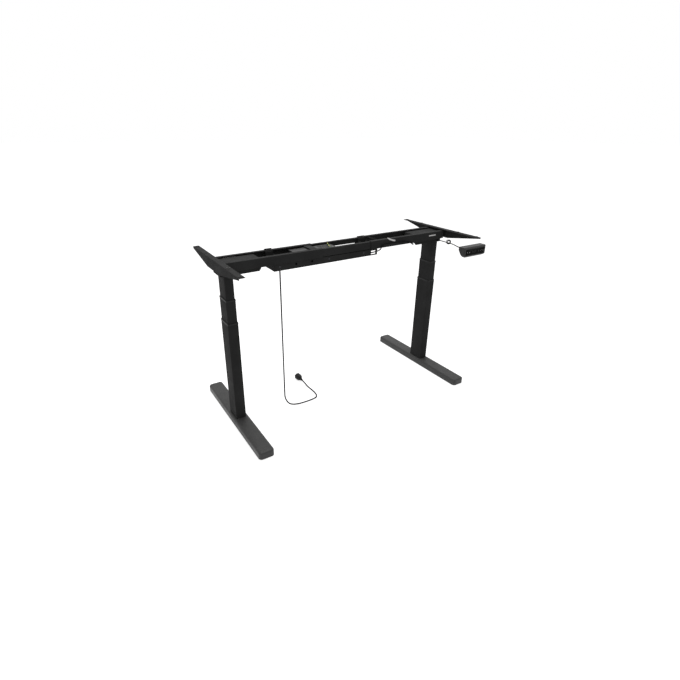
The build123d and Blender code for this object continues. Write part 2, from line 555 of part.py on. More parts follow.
def make_beam():
    make_rail("front_rail", -1)
    make_rail("rear_rail", 1)

    with BuildPart() as cross_braces:
        hook_z = (RAIL_TOP - 2 * RAIL_SHEET, RAIL_TOP - RAIL_SHEET)
        hook_reach = RAIL_OUT - RAIL_SHEET - 2.0
        for x, width in DEEP_BRACES:
            x_range = (x - width / 2, x + width / 2)
            trough = (x - width / 2 + RAIL_SHEET, x + width / 2 - RAIL_SHEET)
            block(x_range, (-BRACE_HALF, BRACE_HALF), (RAIL_UNDER + 6, RAIL_TOP - 16))
            block(trough, (-BRACE_HALF - 1, BRACE_HALF + 1), (RAIL_UNDER + 8, RAIL_TOP), mode=Mode.SUBTRACT)
            for way in (-1, 1):
                ear_y = span(way * (BRACE_HALF - RAIL_SHEET), way * BRACE_HALF)
                block(x_range, ear_y, (RAIL_UNDER + 6, hook_z[1]))
                block(x_range, span(way * (BRACE_HALF - RAIL_SHEET), way * hook_reach), hook_z)
        # a flat strap over the control box
        strap_x = (STRAP_X - STRAP_WIDTH / 2, STRAP_X + STRAP_WIDTH / 2)
        block(strap_x, (-hook_reach, hook_reach), hook_z)
        # the end plate, folded under the tops of both rails
        block((END_PLATE_X - 2.5, END_PLATE_X + 2.5), (-hook_reach, hook_reach), hook_z)
        block((END_PLATE_X, END_PLATE_X + RAIL_SHEET), (-BRACE_HALF, BRACE_HALF), (RAIL_UNDER + 6, RAIL_TOP))
    keep(cross_braces, "cross_braces")

    with BuildPart() as tray:
        hanger = (TRAY_HANGER - RAIL_SHEET, TRAY_HANGER)
        hook_top = RAIL_UNDER + 2 * RAIL_SHEET
        hook_z = (hook_top - RAIL_SHEET, hook_top)
        lip_z = (TRAY_TOP - RAIL_SHEET, TRAY_TOP)
        floor_z = (TRAY_UNDER, TRAY_UNDER + RAIL_SHEET)
        # front wall, folded in under the rail and up inside its open side
        block((RAIL_LEFT, TRAY_RIGHT), (-RAIL_OUT, -RAIL_OUT + RAIL_SHEET), (TRAY_UNDER, TRAY_TOP))
        block((RAIL_LEFT, TRAY_RIGHT), (-RAIL_OUT, -hanger[0]), lip_z)
        block((RAIL_LEFT, TRAY_RIGHT), (-hanger[1], -hanger[0]), (lip_z[0], hook_top))
        block((RAIL_LEFT, TRAY_RIGHT), (-RAIL_OUT + RAIL_SHEET + 2.0, -hanger[0]), hook_z)
        # floor, left end and rear wall
        block((RAIL_LEFT, TRAY_FLOOR_RIGHT), (-RAIL_OUT, hanger[1]), floor_z)
        block((RAIL_LEFT, RAIL_LEFT + RAIL_SHEET), (-RAIL_OUT, 27.0), (TRAY_UNDER, TRAY_TOP))
        block((RAIL_LEFT, TRAY_FLOOR_RIGHT), hanger, (TRAY_UNDER, hook_top))
        block((RAIL_LEFT, TRAY_FLOOR_RIGHT), (hanger[0], RAIL_OUT - RAIL_SHEET - 2.0), hook_z)
        # the lead leaves through the floor, cables through a window at the right end
        lead_x, lead_y, _ = LEAD_ROUTE[1]
        rod(level(TRAY_UNDER - 1, lead_x, lead_y), LEAD_HOLE_RADIUS, 5.0, mode=Mode.SUBTRACT)
        with BuildSketch(facing(-RAIL_OUT, 164.0, 803.5)):
            RectangleRounded(29.0, 19.0, 4.0)
        extrude(amount=2 * RAIL_SHEET, both=True, mode=Mode.SUBTRACT)
        with BuildSketch(facing(-RAIL_OUT, 0.0, 809.0)):
            with Locations((-294.0, 0), (-206.0, 0)):
                Circle(5.5)
            with Locations([(x, TRAY_SCREW_Z - 809.0) for x in TRAY_SCREW_X]):
                Circle(3.0 + SCREW_PLAY)
        extrude(amount=2 * RAIL_SHEET, both=True, mode=Mode.SUBTRACT)
        with BuildSketch(level(hook_z[0] - 1)):
            for way in (-1, 1):
                with Locations([(x, way * 53.0) for x in hanger_bolts(way)]):
                    Circle(3.0 + SCREW_PLAY)
        extrude(amount=RAIL_SHEET + 2, mode=Mode.SUBTRACT)
    keep(tray, "cable_tray")

    with BuildPart() as frame_screws:
        for way in (-1, 1):
            for x in hanger_bolts(way):
                rod(level(hook_top, x, way * 53.0), 5.5, 3.5)
                rod(level(hook_top, x, way * 53.0), 3.0, -(2 * RAIL_SHEET - 0.4))
        for x in TRAY_SCREW_X:
            seat = facing(-RAIL_OUT, x, TRAY_SCREW_Z)
            rod(seat, 5.0, 2.2)
            rod(seat, 3.0, -8.0)
    keep(frame_screws, "frame_screws")


# ---------------------------------------------------------------------------
# Control box, earth wire and motor cables
# ---------------------------------------------------------------------------

def lay_lead(part, route, diameter):
    """Sweep a round lead along straight runs joined by tangent arcs, in the open part."""
    points = [Vector(x, COLUMN_Y + y, z) for x, y, z in route]
    radii = []
    for before, here, after in zip(points, points[1:], points[2:]):
        turn = (here - before).get_angle(after - here)
        shorter = min((here - before).length, (after - here).length)
        radii.append(0.45 * shorter / math.tan(math.radians(turn) / 2))
    with BuildLine() as path:
        FilletPolyline(*points, radius=radii)
    volume_before = part.part.volume if part.part else 0.0
    centre_line = path.wire()
    with BuildSketch(Plane(origin=centre_line @ 0, z_dir=centre_line % 0)) as section:
        Circle(diameter / 2)
    sweep(section.sketch, path=centre_line)
    length = centre_line.length
    expected = math.pi * diameter**2 / 4 * length
    print("lead of", round(length, 1), "mm, radii", [round(radius) for radius in radii],
          "volume ratio", round((part.part.volume - volume_before) / expected, 4))


def make_control_box():
    with BuildPart() as case:
        block((BOX_LEFT, BOX_RIGHT), (-BOX_HALF, BOX_HALF), (BOX_FLOOR, BOX_RIM))
        fillet(case.edges().filter_by(Axis.Z), 4)
        inner_x = (BOX_LEFT + BOX_WALL, BOX_RIGHT - BOX_WALL)
        inner_y = (-BOX_HALF + BOX_WALL, BOX_HALF - BOX_WALL)
        block(inner_x, inner_y, (BOX_FLOOR + BOX_WALL, BOX_RIM + 1), mode=Mode.SUBTRACT)
        for x in (BOX_LEFT + 14, BOX_RIGHT - 14):
            for y in (-28.0, 28.0):
                rod(level(BOX_FLOOR + BOX_WALL, x, y), 3.5, 8.0)
    keep(case, "control_box_case")

    with BuildPart() as board:
        board_z = BOX_FLOOR + BOX_WALL + 8.0
        block((BOX_LEFT + 6, BOX_RIGHT - 6), (-33.0, 33.0), (board_z, board_z + 1.6))
        top = board_z + 1.6
        # supply, motor bridge heatsink, capacitors and sockets
        block((-270.0, -215.0), (-26.0, 14.0), (top, top + 34))
        block((-150.0, -110.0), (-20.0, 20.0), (top, top + 22))
        for x in (-198.0, -178.0):
            rod(level(top, x, -12.0), 8.0, 28.0)
        for y in (-20.0, 0.0, 20.0):
            block((-66.0, -52.0), (y - 7.0, y + 7.0), (top, top + 14))
    keep(board, "circuit_board")

    with BuildPart() as lid:
        block((BOX_LEFT, BOX_RIGHT), (-BOX_HALF, BOX_HALF), (BOX_RIM, BOX_TOP))
        fillet(lid.edges().filter_by(Axis.Z), 4)
        chamfer(lid.edges().group_by(Axis.Z)[-1], 1.2)
        with BuildSketch(level(BOX_TOP, -105.0)):
            with GridLocations(7.0, 1, 9, 1):
                SlotOverall(40.0, 2.5, rotation=90)
        extrude(amount=-1.5, mode=Mode.SUBTRACT)
    keep(lid, "control_box_lid")

    with BuildPart() as earth_wire:
        lay_lead(earth_wire, EARTH_ROUTE, EARTH_DIAMETER)
        # ring lug and bolt on the inner face of the front rail
        lug = facing(-RAIL_OUT + RAIL_SHEET, EARTH_ROUTE[-1][0], EARTH_ROUTE[-1][2])
        rod(lug, 4.5, -1.2)
        rod(lug, 3.5, -RAIL_OUT - EARTH_ROUTE[-1][1] + RAIL_SHEET + 0.2)
    keep(earth_wire, "earth_wire")

    with BuildPart() as motor_cables:
        for route in (LEFT_MOTOR_ROUTE, RIGHT_MOTOR_ROUTE):
            lay_lead(motor_cables, route, MOTOR_CABLE_DIAMETER)
    keep(motor_cables, "motor_cables")


# ---------------------------------------------------------------------------
# Mains lead and plug
# ---------------------------------------------------------------------------

def make_mains_lead():
    with BuildPart() as mains_lead:
        lay_lead(mains_lead, LEAD_ROUTE, LEAD_DIAMETER)
    keep(mains_lead, "mains_lead")

    with BuildPart() as plug:
        x, y, z = LEAD_ROUTE[-1]
        sleeve = 22.0
        body = 38.0
        with BuildSketch(across(x, y, z)):
            with BuildLine():
                Polyline((0, 0), (0, 5), (sleeve, 9), (sleeve, PLUG_RADIUS - 4), (sleeve + 10, PLUG_RADIUS),
                         (sleeve + body, PLUG_RADIUS), (sleeve + body, 0), close=True)
            make_face()
        revolve(axis=Axis((x, COLUMN_Y + y, z), (0, 1, 0)))
        for pin_x in (-9.5, 9.5):
            rod(facing(y + sleeve + body, x + pin_x, z), 2.4, -19.0)
    keep(plug, "mains_plug")


# ---------------------------------------------------------------------------
# Handset: case, face plate, five sprung keys and the cable to the beam
# ---------------------------------------------------------------------------

def make_handset():
    left, right = HANDSET_X
    centre = (left + right) / 2
    with BuildPart() as case:
        with BuildSketch(across(centre)):
            with BuildLine():
                Polyline((HANDSET_BACK, TOP_Z), (HANDSET_BACK, 856.0), (-422.0, 824.0), (-431.0, HANDSET_UNDER),
                         (HANDSET_FACE_Y, 829.0), (HANDSET_FACE_Y, 867.0), (-434.0, TOP_Z), close=True)
            make_face()
        extrude(amount=(right - left) / 2, both=True)
        fillet(case.edges().filter_by(Axis.Z).group_by(Axis.Y)[0], 5)
        # from the front, the two lower corners are round
        with BuildSketch(facing(HANDSET_FACE_Y - 1, centre, TOP_Z)):
            RectangleRounded(right - left, 2 * (TOP_Z - HANDSET_UNDER), HANDSET_CORNER)
        extrude(amount=-45.0, mode=Mode.INTERSECT)
        # recess for the face plate and the pocket behind the keys
        with BuildSketch(facing(HANDSET_FACE_Y, centre, KEY_Z)):
            RectangleRounded(right - left - 16.0, 30.0, 5.0)
        extrude(amount=-FACE_PLATE, mode=Mode.SUBTRACT)
        with BuildSketch(facing(HANDSET_FACE_Y, centre, KEY_Z)):
            RectangleRounded(right - left - 24.0, 22.0, 4.0)
        extrude(amount=-8.0, mode=Mode.SUBTRACT)
        # screw holes up into the desktop
        with BuildSketch(level(TOP_Z, centre, -417.0)):
            with GridLocations(HANDSET_HOLES, 1, 2, 1):
                Circle(HANDSET_HOLE_RADIUS)
        extrude(amount=-12.0, mode=Mode.SUBTRACT)
    keep(case, "handset_case")

    with BuildPart() as face:
        with BuildSketch(facing(HANDSET_FACE_Y + FACE_PLATE, centre, KEY_Z)):
            RectangleRounded(right - left - 16.4, 29.6, 4.8)
            with Locations([(x - centre, 0) for _, x in KEYS]):
                Circle(KEY_RADIUS + 0.35, mode=Mode.SUBTRACT)
        extrude(amount=FACE_PLATE)
        # display window
        with BuildSketch(facing(HANDSET_FACE_Y, 496.0, KEY_Z)):
            RectangleRounded(38.0, 18.0, 2.0)
        extrude(amount=-0.4, mode=Mode.SUBTRACT)
    keep(face, "handset_face")

    for name, x in KEYS:
        with BuildPart() as key:
            flange_y = HANDSET_FACE_Y + FACE_PLATE + 0.3
            rod(facing(flange_y, x, KEY_Z), KEY_RADIUS, flange_y + HANDSET_REACH)
            chamfer(key.edges().filter_by(GeomType.CIRCLE).group_by(Axis.Y)[0], 0.5)
            rod(facing(flange_y, x, KEY_Z), KEY_RADIUS + 1.2, -1.0)
            rod(facing(flange_y + 1.0, x, KEY_Z), 2.0, -2.4)
        keep(key, f"key_{name}")

    with BuildPart() as handset_cable:
        lay_lead(handset_cable, CABLE_ROUTE, CABLE_DIAMETER)
    keep(handset_cable, "handset_cable")


for leg_name, leg_side in (("left", -1), ("right", 1)):
    make_foot(leg_name, leg_side)
    make_column(leg_name, leg_side)
    make_drive(leg_name, leg_side)
    make_head(leg_name, leg_side)
make_beam()
make_control_box()
make_mains_lead()
make_handset()
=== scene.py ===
# %% [markdown]
# # A height adjustable desk frame
# The real object is the steel frame of an electric standing desk: two telescopic columns on flat
# feet, a beam of sliding rails between them, and a few plastic parts hung on it. Its working parts
# come ready made and in place, so this lesson gives them their finish and adds what cords, plugs
# and small fittings need. All lengths are in metres, and the floor is Z = 0.

# %% Load the frame
import json
import math
import bmesh
import bpy
from mathutils import Matrix, Vector

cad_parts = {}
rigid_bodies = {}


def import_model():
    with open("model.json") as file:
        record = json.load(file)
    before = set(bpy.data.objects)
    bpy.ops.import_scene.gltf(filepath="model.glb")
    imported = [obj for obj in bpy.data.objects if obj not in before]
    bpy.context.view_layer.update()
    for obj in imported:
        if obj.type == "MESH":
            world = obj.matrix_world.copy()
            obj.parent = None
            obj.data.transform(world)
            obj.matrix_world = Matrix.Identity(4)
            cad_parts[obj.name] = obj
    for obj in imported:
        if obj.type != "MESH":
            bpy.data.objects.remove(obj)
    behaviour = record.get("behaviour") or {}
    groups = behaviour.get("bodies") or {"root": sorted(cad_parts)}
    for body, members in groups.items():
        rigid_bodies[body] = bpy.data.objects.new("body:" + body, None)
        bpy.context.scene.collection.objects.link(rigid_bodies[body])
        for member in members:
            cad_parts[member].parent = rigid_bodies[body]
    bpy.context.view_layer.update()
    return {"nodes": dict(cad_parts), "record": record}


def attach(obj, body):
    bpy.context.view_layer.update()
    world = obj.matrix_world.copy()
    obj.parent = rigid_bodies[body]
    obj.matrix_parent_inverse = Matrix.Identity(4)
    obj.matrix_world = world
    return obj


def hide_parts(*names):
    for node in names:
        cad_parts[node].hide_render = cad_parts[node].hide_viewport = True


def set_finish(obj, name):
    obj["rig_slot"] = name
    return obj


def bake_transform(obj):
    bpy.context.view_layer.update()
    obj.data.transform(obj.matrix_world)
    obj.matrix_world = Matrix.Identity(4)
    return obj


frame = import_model()
scene = bpy.context.scene
nodes = frame["nodes"]
record = frame["record"]
body_of_node = {n: body for body, members in record["behaviour"]["bodies"].items() for n in members}
slot_of_node = {part["node"]: part["material_slot"] for part in record["subparts"]}

# %% [markdown]
# ## The camera
# A wide lens close to the desk gives the strong convergence of the two feet. A little shift keeps
# the desk above the middle of the frame without tilting the camera, so upright edges lean only as
# much as the view from above makes them.

# %% Place the camera
CAMERA_PLACE = Vector((-1.26387, -1.84900, 1.41300))
CAMERA_YAW = math.radians(32.0)         # from +Y towards +X
CAMERA_PITCH = math.radians(24.876)     # downwards
CAMERA_ROLL = math.radians(0.330)
FOCAL_PIXELS = 447.265
FRAME_PIXELS = 680.0
CENTRE_PIXEL = (326.6, 331.4)           # where the lens axis meets the picture
SENSOR = 36.0

forward = Vector((math.sin(CAMERA_YAW) * math.cos(CAMERA_PITCH),
                  math.cos(CAMERA_YAW) * math.cos(CAMERA_PITCH), -math.sin(CAMERA_PITCH)))
level_right = Vector((math.cos(CAMERA_YAW), -math.sin(CAMERA_YAW), 0.0))
level_up = level_right.cross(forward)
right = level_right * math.cos(CAMERA_ROLL) + level_up * math.sin(CAMERA_ROLL)
up = level_up * math.cos(CAMERA_ROLL) - level_right * math.sin(CAMERA_ROLL)

lens = bpy.data.cameras.new("camera")
lens.sensor_width = SENSOR
lens.lens = FOCAL_PIXELS / FRAME_PIXELS * SENSOR
lens.shift_x = 0.5 - CENTRE_PIXEL[0] / FRAME_PIXELS
lens.shift_y = CENTRE_PIXEL[1] / FRAME_PIXELS - 0.5
lens.clip_start = 0.05
camera = bpy.data.objects.new("camera", lens)
scene.collection.objects.link(camera)
turn = Matrix((right, up, -forward)).transposed().to_4x4()
camera.matrix_world = Matrix.Translation(CAMERA_PLACE) @ turn
scene.camera = camera
print("lens", round(lens.lens, 2), "mm, shift", round(lens.shift_x, 4), round(lens.shift_y, 4))

# %% [markdown]
# ## Small tools
# Positions on the desk are easiest to give in millimetres from the column axes, which stand 41 mm
# behind the middle of the footprint. Each new piece starts as a small mesh, gets its normals, and
# rides on the body that carries it.

# %% Helpers for pieces
COLUMN_Y = 0.041
LEG_X = 0.625
MM = 0.001


def place(x, y, z):
    """A point given in millimetres, with y counted from the column axes."""
    return Vector((x * MM, COLUMN_Y + y * MM, z * MM))


def add_object(name, data):
    """Put a mesh, curve or lamp in the scene."""
    piece = bpy.data.objects.new(name, data)
    scene.collection.objects.link(piece)
    return piece


def finish_piece(name, bm, body, material_slot, smooth_under=32.0):
    """Turn a working mesh into a piece that rides on a body."""
    bmesh.ops.remove_doubles(bm, verts=bm.verts, dist=1e-6)
    bmesh.ops.recalc_face_normals(bm, faces=bm.faces)
    mesh = bpy.data.meshes.new(name)
    bm.to_mesh(mesh)
    bm.free()
    mesh.shade_smooth()
    mesh.set_sharp_from_angle(angle=math.radians(smooth_under))
    piece = add_object(name, mesh)
    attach(piece, body)
    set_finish(piece, material_slot)
    return piece


def facing_turn(direction):
    """The rotation that turns +Z towards a direction."""
    return Vector(direction).to_track_quat("Z", "Y").to_matrix().to_4x4()


def lathe(bm, profile, origin, direction, steps=32, start=0.0):
    """Spin a profile of (radius, height) pairs, in millimetres, about an axis."""
    before = set(bm.verts)
    across, over = math.cos(start) * MM, math.sin(start) * MM
    ring = [bm.verts.new((radius * across, radius * over, height * MM)) for radius, height in profile]
    edges = [bm.edges.new(pair) for pair in zip(ring, ring[1:])]
    bmesh.ops.spin(bm, geom=ring + edges, cent=(0, 0, 0), axis=(0, 0, 1), angle=math.tau,
                   steps=steps, use_merge=True)
    made = [v for v in bm.verts if v not in before]
    bmesh.ops.remove_doubles(bm, verts=made, dist=1e-6)
    made = [v for v in bm.verts if v not in before]
    bmesh.ops.transform(bm, matrix=Matrix.Translation(origin) @ facing_turn(direction), verts=made)


def soft_block(bm, centre, size, round_by):
    """A block with rounded edges; its centre is a place, its size in millimetres."""
    made = bmesh.ops.create_cube(bm, size=1.0)["verts"]
    bmesh.ops.scale(bm, vec=[length * MM for length in size], verts=made)
    bmesh.ops.translate(bm, vec=centre, verts=made)
    edges = list({e for v in made for e in v.link_edges})
    bmesh.ops.bevel(bm, geom=edges, offset=round_by * MM, segments=3, profile=0.5, affect="EDGES",
                    material=-1)


# %% [markdown]
# ## Sheet metal with broken edges
# A laser cut or bent edge is never razor sharp, and the thin light line along it is what makes
# black steel readable. Each visible steel or plastic part gets a merged copy whose sharp edges are
# rounded by a bevel, and the copy stands in for the part.

# %% Break the edges
SHEET_EDGE = 0.45 * MM
MOULDED_EDGE = 0.9 * MM
SCREW_EDGE = 0.35 * MM
SHARP_FROM = math.radians(35.0)         # edges that turn by more than this are rounded


def merged_copy(node):
    """A working mesh of a part, with its loose triangles joined into whole faces."""
    bm = bmesh.new()
    bm.from_mesh(nodes[node].data)
    bmesh.ops.remove_doubles(bm, verts=bm.verts, dist=1e-6)
    bmesh.ops.dissolve_limit(bm, angle_limit=math.radians(1.0), verts=bm.verts, edges=bm.edges)
    return bm


def stand_in(node, bm, width):
    """A piece in a part's place, with its sharp edges rounded."""
    weights = bm.edges.layers.float.new("bevel_weight_edge")
    for edge in bm.edges:
        if edge.is_manifold and edge.calc_face_angle() > SHARP_FROM:
            edge[weights] = 1.0
    piece = finish_piece(node + "_soft", bm, body_of_node[node], slot_of_node[node])
    bevel = piece.modifiers.new("broken_edges", "BEVEL")
    bevel.limit_method = "WEIGHT"
    bevel.width = width
    bevel.segments = 2
    bevel.harden_normals = True
    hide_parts(node)
    return piece


sheet_nodes = ["front_rail", "rear_rail", "cross_braces", "cable_tray"]
moulded_nodes = ["control_box_case", "control_box_lid", "handset_case", "handset_face"]
for leg in ("left", "right"):
    sheet_nodes += [leg + "_" + part for part in ("foot", "outer_tube", "middle_tube", "inner_tube",
                                                  "head_box", "slide_rails", "side_bracket")]
for node in sheet_nodes:
    stand_in(node, merged_copy(node), SHEET_EDGE)
for node in moulded_nodes:
    stand_in(node, merged_copy(node), MOULDED_EDGE)
print("softened", len(sheet_nodes), "sheet parts and", len(moulded_nodes), "mouldings")

# %% [markdown]
# ## Collars on the columns
# Each tube ends in a thin plastic collar that wipes the stage inside it. The collar is a cap with a
# short skirt outside the tube, so it shows as a dark band and a small step in the column's outline.
# It is made from rounded rectangles, one for each corner of its section, with a band of faces
# between each one and the next.

# %% Wiper collars
STAGE_SIZES = [(52.0, 97.0), (47.0, 92.0)]
STAGE_MOUTHS = [566.0, 681.0]
TUBE_CORNER = 6.0
COLLAR_SKIRT = 5.5
COLLAR_TOP = 2.0
COLLAR_PROUD = 0.9
COLLAR_INSIDE = 2.3                     # from the tube's face in to the next stage, less play


def rounded_loop(bm, centre_x, half_x, half_y, corner, z, arc=6):
    """The points round a rounded rectangle about a column axis."""
    spots = []
    for quarter, (sx, sy) in enumerate([(1, 1), (-1, 1), (-1, -1), (1, -1)]):
        for step in range(arc + 1):
            angle = math.radians(90 * quarter + 90 * step / arc)
            x = sx * (half_x - corner) + corner * math.cos(angle)
            y = sy * (half_y - corner) + corner * math.sin(angle)
            spots.append(bm.verts.new(Vector((centre_x, 0, 0)) + place(x, y, z)))
    return spots


for leg, leg_x in (("left", -LEG_X), ("right", LEG_X)):
    for stage, mouth in enumerate(STAGE_MOUTHS):
        half_x, half_y = (size / 2 for size in STAGE_SIZES[stage])
        section = [(-COLLAR_INSIDE, 0.2), (-COLLAR_INSIDE, COLLAR_TOP - 0.5),
                   (-COLLAR_INSIDE + 0.5, COLLAR_TOP),
                   (COLLAR_PROUD - 0.5, COLLAR_TOP), (COLLAR_PROUD, COLLAR_TOP - 0.5),
                   (COLLAR_PROUD, -COLLAR_SKIRT), (0.1, -COLLAR_SKIRT), (0.1, 0.2)]
        bm = bmesh.new()
        loops = [rounded_loop(bm, leg_x, half_x + out, half_y + out, TUBE_CORNER - 0.5 * stage + out,
                              mouth + rise) for out, rise in section]
        for first, second in zip(loops, loops[1:] + loops[:1]):
            for here in range(len(first)):
                bm.faces.new((first[here - 1], first[here], second[here], second[here - 1]))
        body = leg + ("_base", "_middle")[stage]
        finish_piece(leg + "_collar_" + str(stage + 1), bm, body, "plug_plastic")
print("collars at", STAGE_MOUTHS)

# %% [markdown]
# ## Tubes along smooth routes
# Every flex on the desk is round and follows a smooth line. A NURBS curve of order 3 with its
# listed points as controls gives that line, and its bevel gives the round section. Some flexes
# cross a moving joint. Each curve is turned into a mesh, and the same curve without its bevel
# gives the centre line.

# %% Helpers for flexes
def route_curve(name, route, radius=0.0):
    """One open smooth spline through the control points, round if it has a radius."""
    data = bpy.data.curves.new(name, "CURVE")
    data.dimensions = "3D"
    data.resolution_u = 16
    data.bevel_depth = radius
    data.bevel_resolution = 5
    data.use_fill_caps = radius > 0
    spline = data.splines.new("NURBS")
    spline.points.add(len(route) - 1)
    for point, spot in zip(spline.points, route):
        point.co = (*spot, 1.0)
    spline.order_u = 3
    spline.use_endpoint_u = True
    return add_object(name, data)


def curve_to_mesh(curve, name):
    """The evaluated mesh of a curve, and the curve removed."""
    bpy.context.view_layer.update()
    made = curve.evaluated_get(bpy.context.evaluated_depsgraph_get())
    mesh = bpy.data.meshes.new_from_object(made)
    mesh.name = name
    bpy.data.objects.remove(curve)
    return mesh


def centre_line(route):
    """Points along the smooth spline of a route."""
    mesh = curve_to_mesh(route_curve("line", route), "line")
    points = [v.co.copy() for v in mesh.vertices]
    bpy.data.meshes.remove(mesh)
    return points


def line_length(points):
    """The length of a line through points."""
    return sum((b - a).length for a, b in zip(points, points[1:]))


def flex(name, route, diameter, material_slot):
    """A round flex as a mesh, with its centre line."""
    mesh = curve_to_mesh(route_curve(name, route, diameter / 2), name)
    mesh.shade_smooth()
    piece = add_object(name, mesh)
    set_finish(piece, material_slot)
    line = centre_line(route)
    print(name, "is", round(line_length(line), 3), "m long,", len(mesh.vertices), "vertices")
    return piece, line


# %% [markdown]
# ## The mains lead
# The lead leaves the control box inside the tray, drops through a hole in the tray's floor, hangs
# straight, and lies in a loose bend on the floor up to its plug. Two extra control points near the
# ends of the long drop keep that stretch straight. When the desk rises the plug stays where it is.

# %% Mains lead
LEAD_DIAMETER = 0.0072
LEAD_ROUTE = [
    place(-284.0, -30.0, 825.0),
    place(-366.0, -30.0, 825.0),
    place(-366.0, -30.0, 744.0),
    place(-366.0, -30.0, 117.0),
    place(-366.0, -30.0, 50.4),
    place(-330.0, -42.0, 3.7),
    place(-183.0, -46.0, 3.7),
    place(-156.0, -18.6, 3.7),
    place(-154.0, 45.0, 3.7),
    place(-158.0, 88.0, 3.7),
    place(-163.0, 124.0, 19.0),
    place(-163.0, 146.0, 19.0),
]
mains_lead, lead_line = flex("mains_lead_flex", LEAD_ROUTE, LEAD_DIAMETER, "mains_flex")
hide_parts("mains_lead")
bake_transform(mains_lead)

# %% [markdown]
# A ribbed strain relief guards the lead where it leaves the box, and a rubber grommet lines the
# hole in the tray.

# %% Strain relief and grommet
relief = [(0.0, 0.0), (8.0, 0.0), (8.0, 3.0), (6.6, 4.0)]
for rib in range(5):
    start = 5.0 + 5.0 * rib
    girth = 6.4 - 0.5 * rib
    relief += [(girth, start), (girth, start + 2.6), (girth - 1.0, start + 3.2), (girth - 1.0, start + 4.4)]
relief += [(3.7, 30.0), (3.4, 30.0)]
bm = bmesh.new()
lathe(bm, relief, LEAD_ROUTE[0], (-1, 0, 0))
finish_piece("lead_strain_relief", bm, "centre_frame", "plug_plastic")

bm = bmesh.new()
grommet = [(3.9, -2.2), (7.6, -2.2), (8.2, -1.6), (8.2, -0.4), (5.9, -0.2), (5.9, 2.2), (8.2, 2.4),
           (8.2, 3.2), (7.6, 3.8), (3.9, 3.8), (3.9, -2.2)]
lathe(bm, grommet, place(-366.0, -30.0, 788.0), (0, 0, 1))
finish_piece("tray_grommet", bm, "centre_frame", "rubber_pad")
print("strain relief of", len(relief), "profile points, grommet of", len(grommet))

# %% [markdown]
# ## The plug
# A moulded plug: a ribbed sleeve that tapers to the lead, an eight-sided body with a grip groove
# and soft corners, a shallow face, and two steel pins with plastic collars and domed tips. Eight
# steps of the spin, half a step turned, give the body flat sides to lie on.

# %% Mains plug
PLUG_START = LEAD_ROUTE[-1]
PIN_SPREAD = 9.5 * MM
sleeve = [(0.0, 0.0), (4.6, 0.0), (5.0, 0.8)]
for rib in range(4):
    start = 2.0 + 4.6 * rib
    girth = 6.0 + 0.9 * rib
    sleeve += [(girth - 1.2, start), (girth, start + 0.6), (girth, start + 3.0), (girth - 1.2, start + 3.6)]
sleeve += [(8.0, 22.0), (0.0, 22.0)]
body_profile = [(0.0, 20.6), (9.5, 20.6), (12.0, 21.6), (19.4, 35.0), (19.4, 39.0), (18.2, 40.2),
                (18.2, 43.0), (19.6, 44.2), (20.4, 47.0), (20.4, 57.0), (19.4, 60.0), (17.0, 60.0),
                (16.2, 57.4), (0.0, 57.4)]
bm = bmesh.new()
lathe(bm, sleeve, PLUG_START, (0, 1, 0), steps=32)
lathe(bm, body_profile, PLUG_START, (0, 1, 0), steps=8, start=math.radians(22.5))
plug_body = finish_piece("plug_moulding", bm, "plug", "plug_plastic", smooth_under=25.0)
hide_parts("mains_plug")
soften = plug_body.modifiers.new("soft_corners", "BEVEL")
soften.limit_method = "ANGLE"
soften.angle_limit = math.radians(25.0)
soften.width = 1.3 * MM
soften.segments = 3
soften.harden_normals = True

bm = bmesh.new()
pin = [(0.0, 56.0), (3.4, 56.0), (3.4, 59.2), (2.4, 60.0), (2.4, 77.0), (2.0, 78.4), (1.2, 78.9), (0.0, 79.0)]
for way in (-1, 1):
    lathe(bm, pin, PLUG_START + Vector((way * PIN_SPREAD, 0, 0)), (0, 1, 0), steps=20)
plug_pins = finish_piece("plug_pins", bm, "plug", "bright_steel")

# %% [markdown]
# ## The handset cable
# A thin signal cable leaves the right motor box, dips under the rail and climbs to the handset. A
# hook and loop tie is rolled up on it, ready for its spare length.

# %% Handset cable
CABLE_DIAMETER = 0.005
CABLE_ROUTE = [
    place(640.0, -43.0, 808.0),
    place(636.0, -92.0, 811.0),
    place(584.0, -180.0, 826.0),
    place(530.0, -264.0, 844.0),
    place(462.0, -352.0, 861.0),
    place(448.0, -376.0, 863.0),
    place(448.0, -400.0, 863.0),
]
handset_cable, cable_line = flex("handset_cable_flex", CABLE_ROUTE, CABLE_DIAMETER, "signal_flex")
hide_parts("handset_cable")
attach(handset_cable, "right_head")


def strap(bm, route, across, width, thick):
    """A flat strap: a line along a route, extruded sideways and thickened."""
    half = across.normalized() * width * MM / 2
    line = [bm.verts.new(spot - half) for spot in route]
    edges = [bm.edges.new(pair) for pair in zip(line, line[1:])]
    sheet = bmesh.ops.extrude_edge_only(bm, edges=edges)["geom"]
    bmesh.ops.translate(bm, vec=half * 2, verts=[g for g in sheet if isinstance(g, bmesh.types.BMVert)])
    faces = [g for g in sheet if isinstance(g, bmesh.types.BMFace)]
    bmesh.ops.recalc_face_normals(bm, faces=faces)
    bmesh.ops.solidify(bm, geom=faces, thickness=thick * MM)


TIE_INSIDE, TIE_OUTSIDE = 5.5 * MM, 14.0 * MM
TIE_TURNS = 4
STEPS_A_TURN = 20
tie_at = min(cable_line, key=lambda spot: (spot - place(576, -196, 828)).length)
axle = Vector((-0.72, -0.66, 0.2)).normalized()
outward = axle.cross(Vector((0, 0, 1))).normalized()
upward = outward.cross(axle)
middle = tie_at + upward * 6.0 * MM


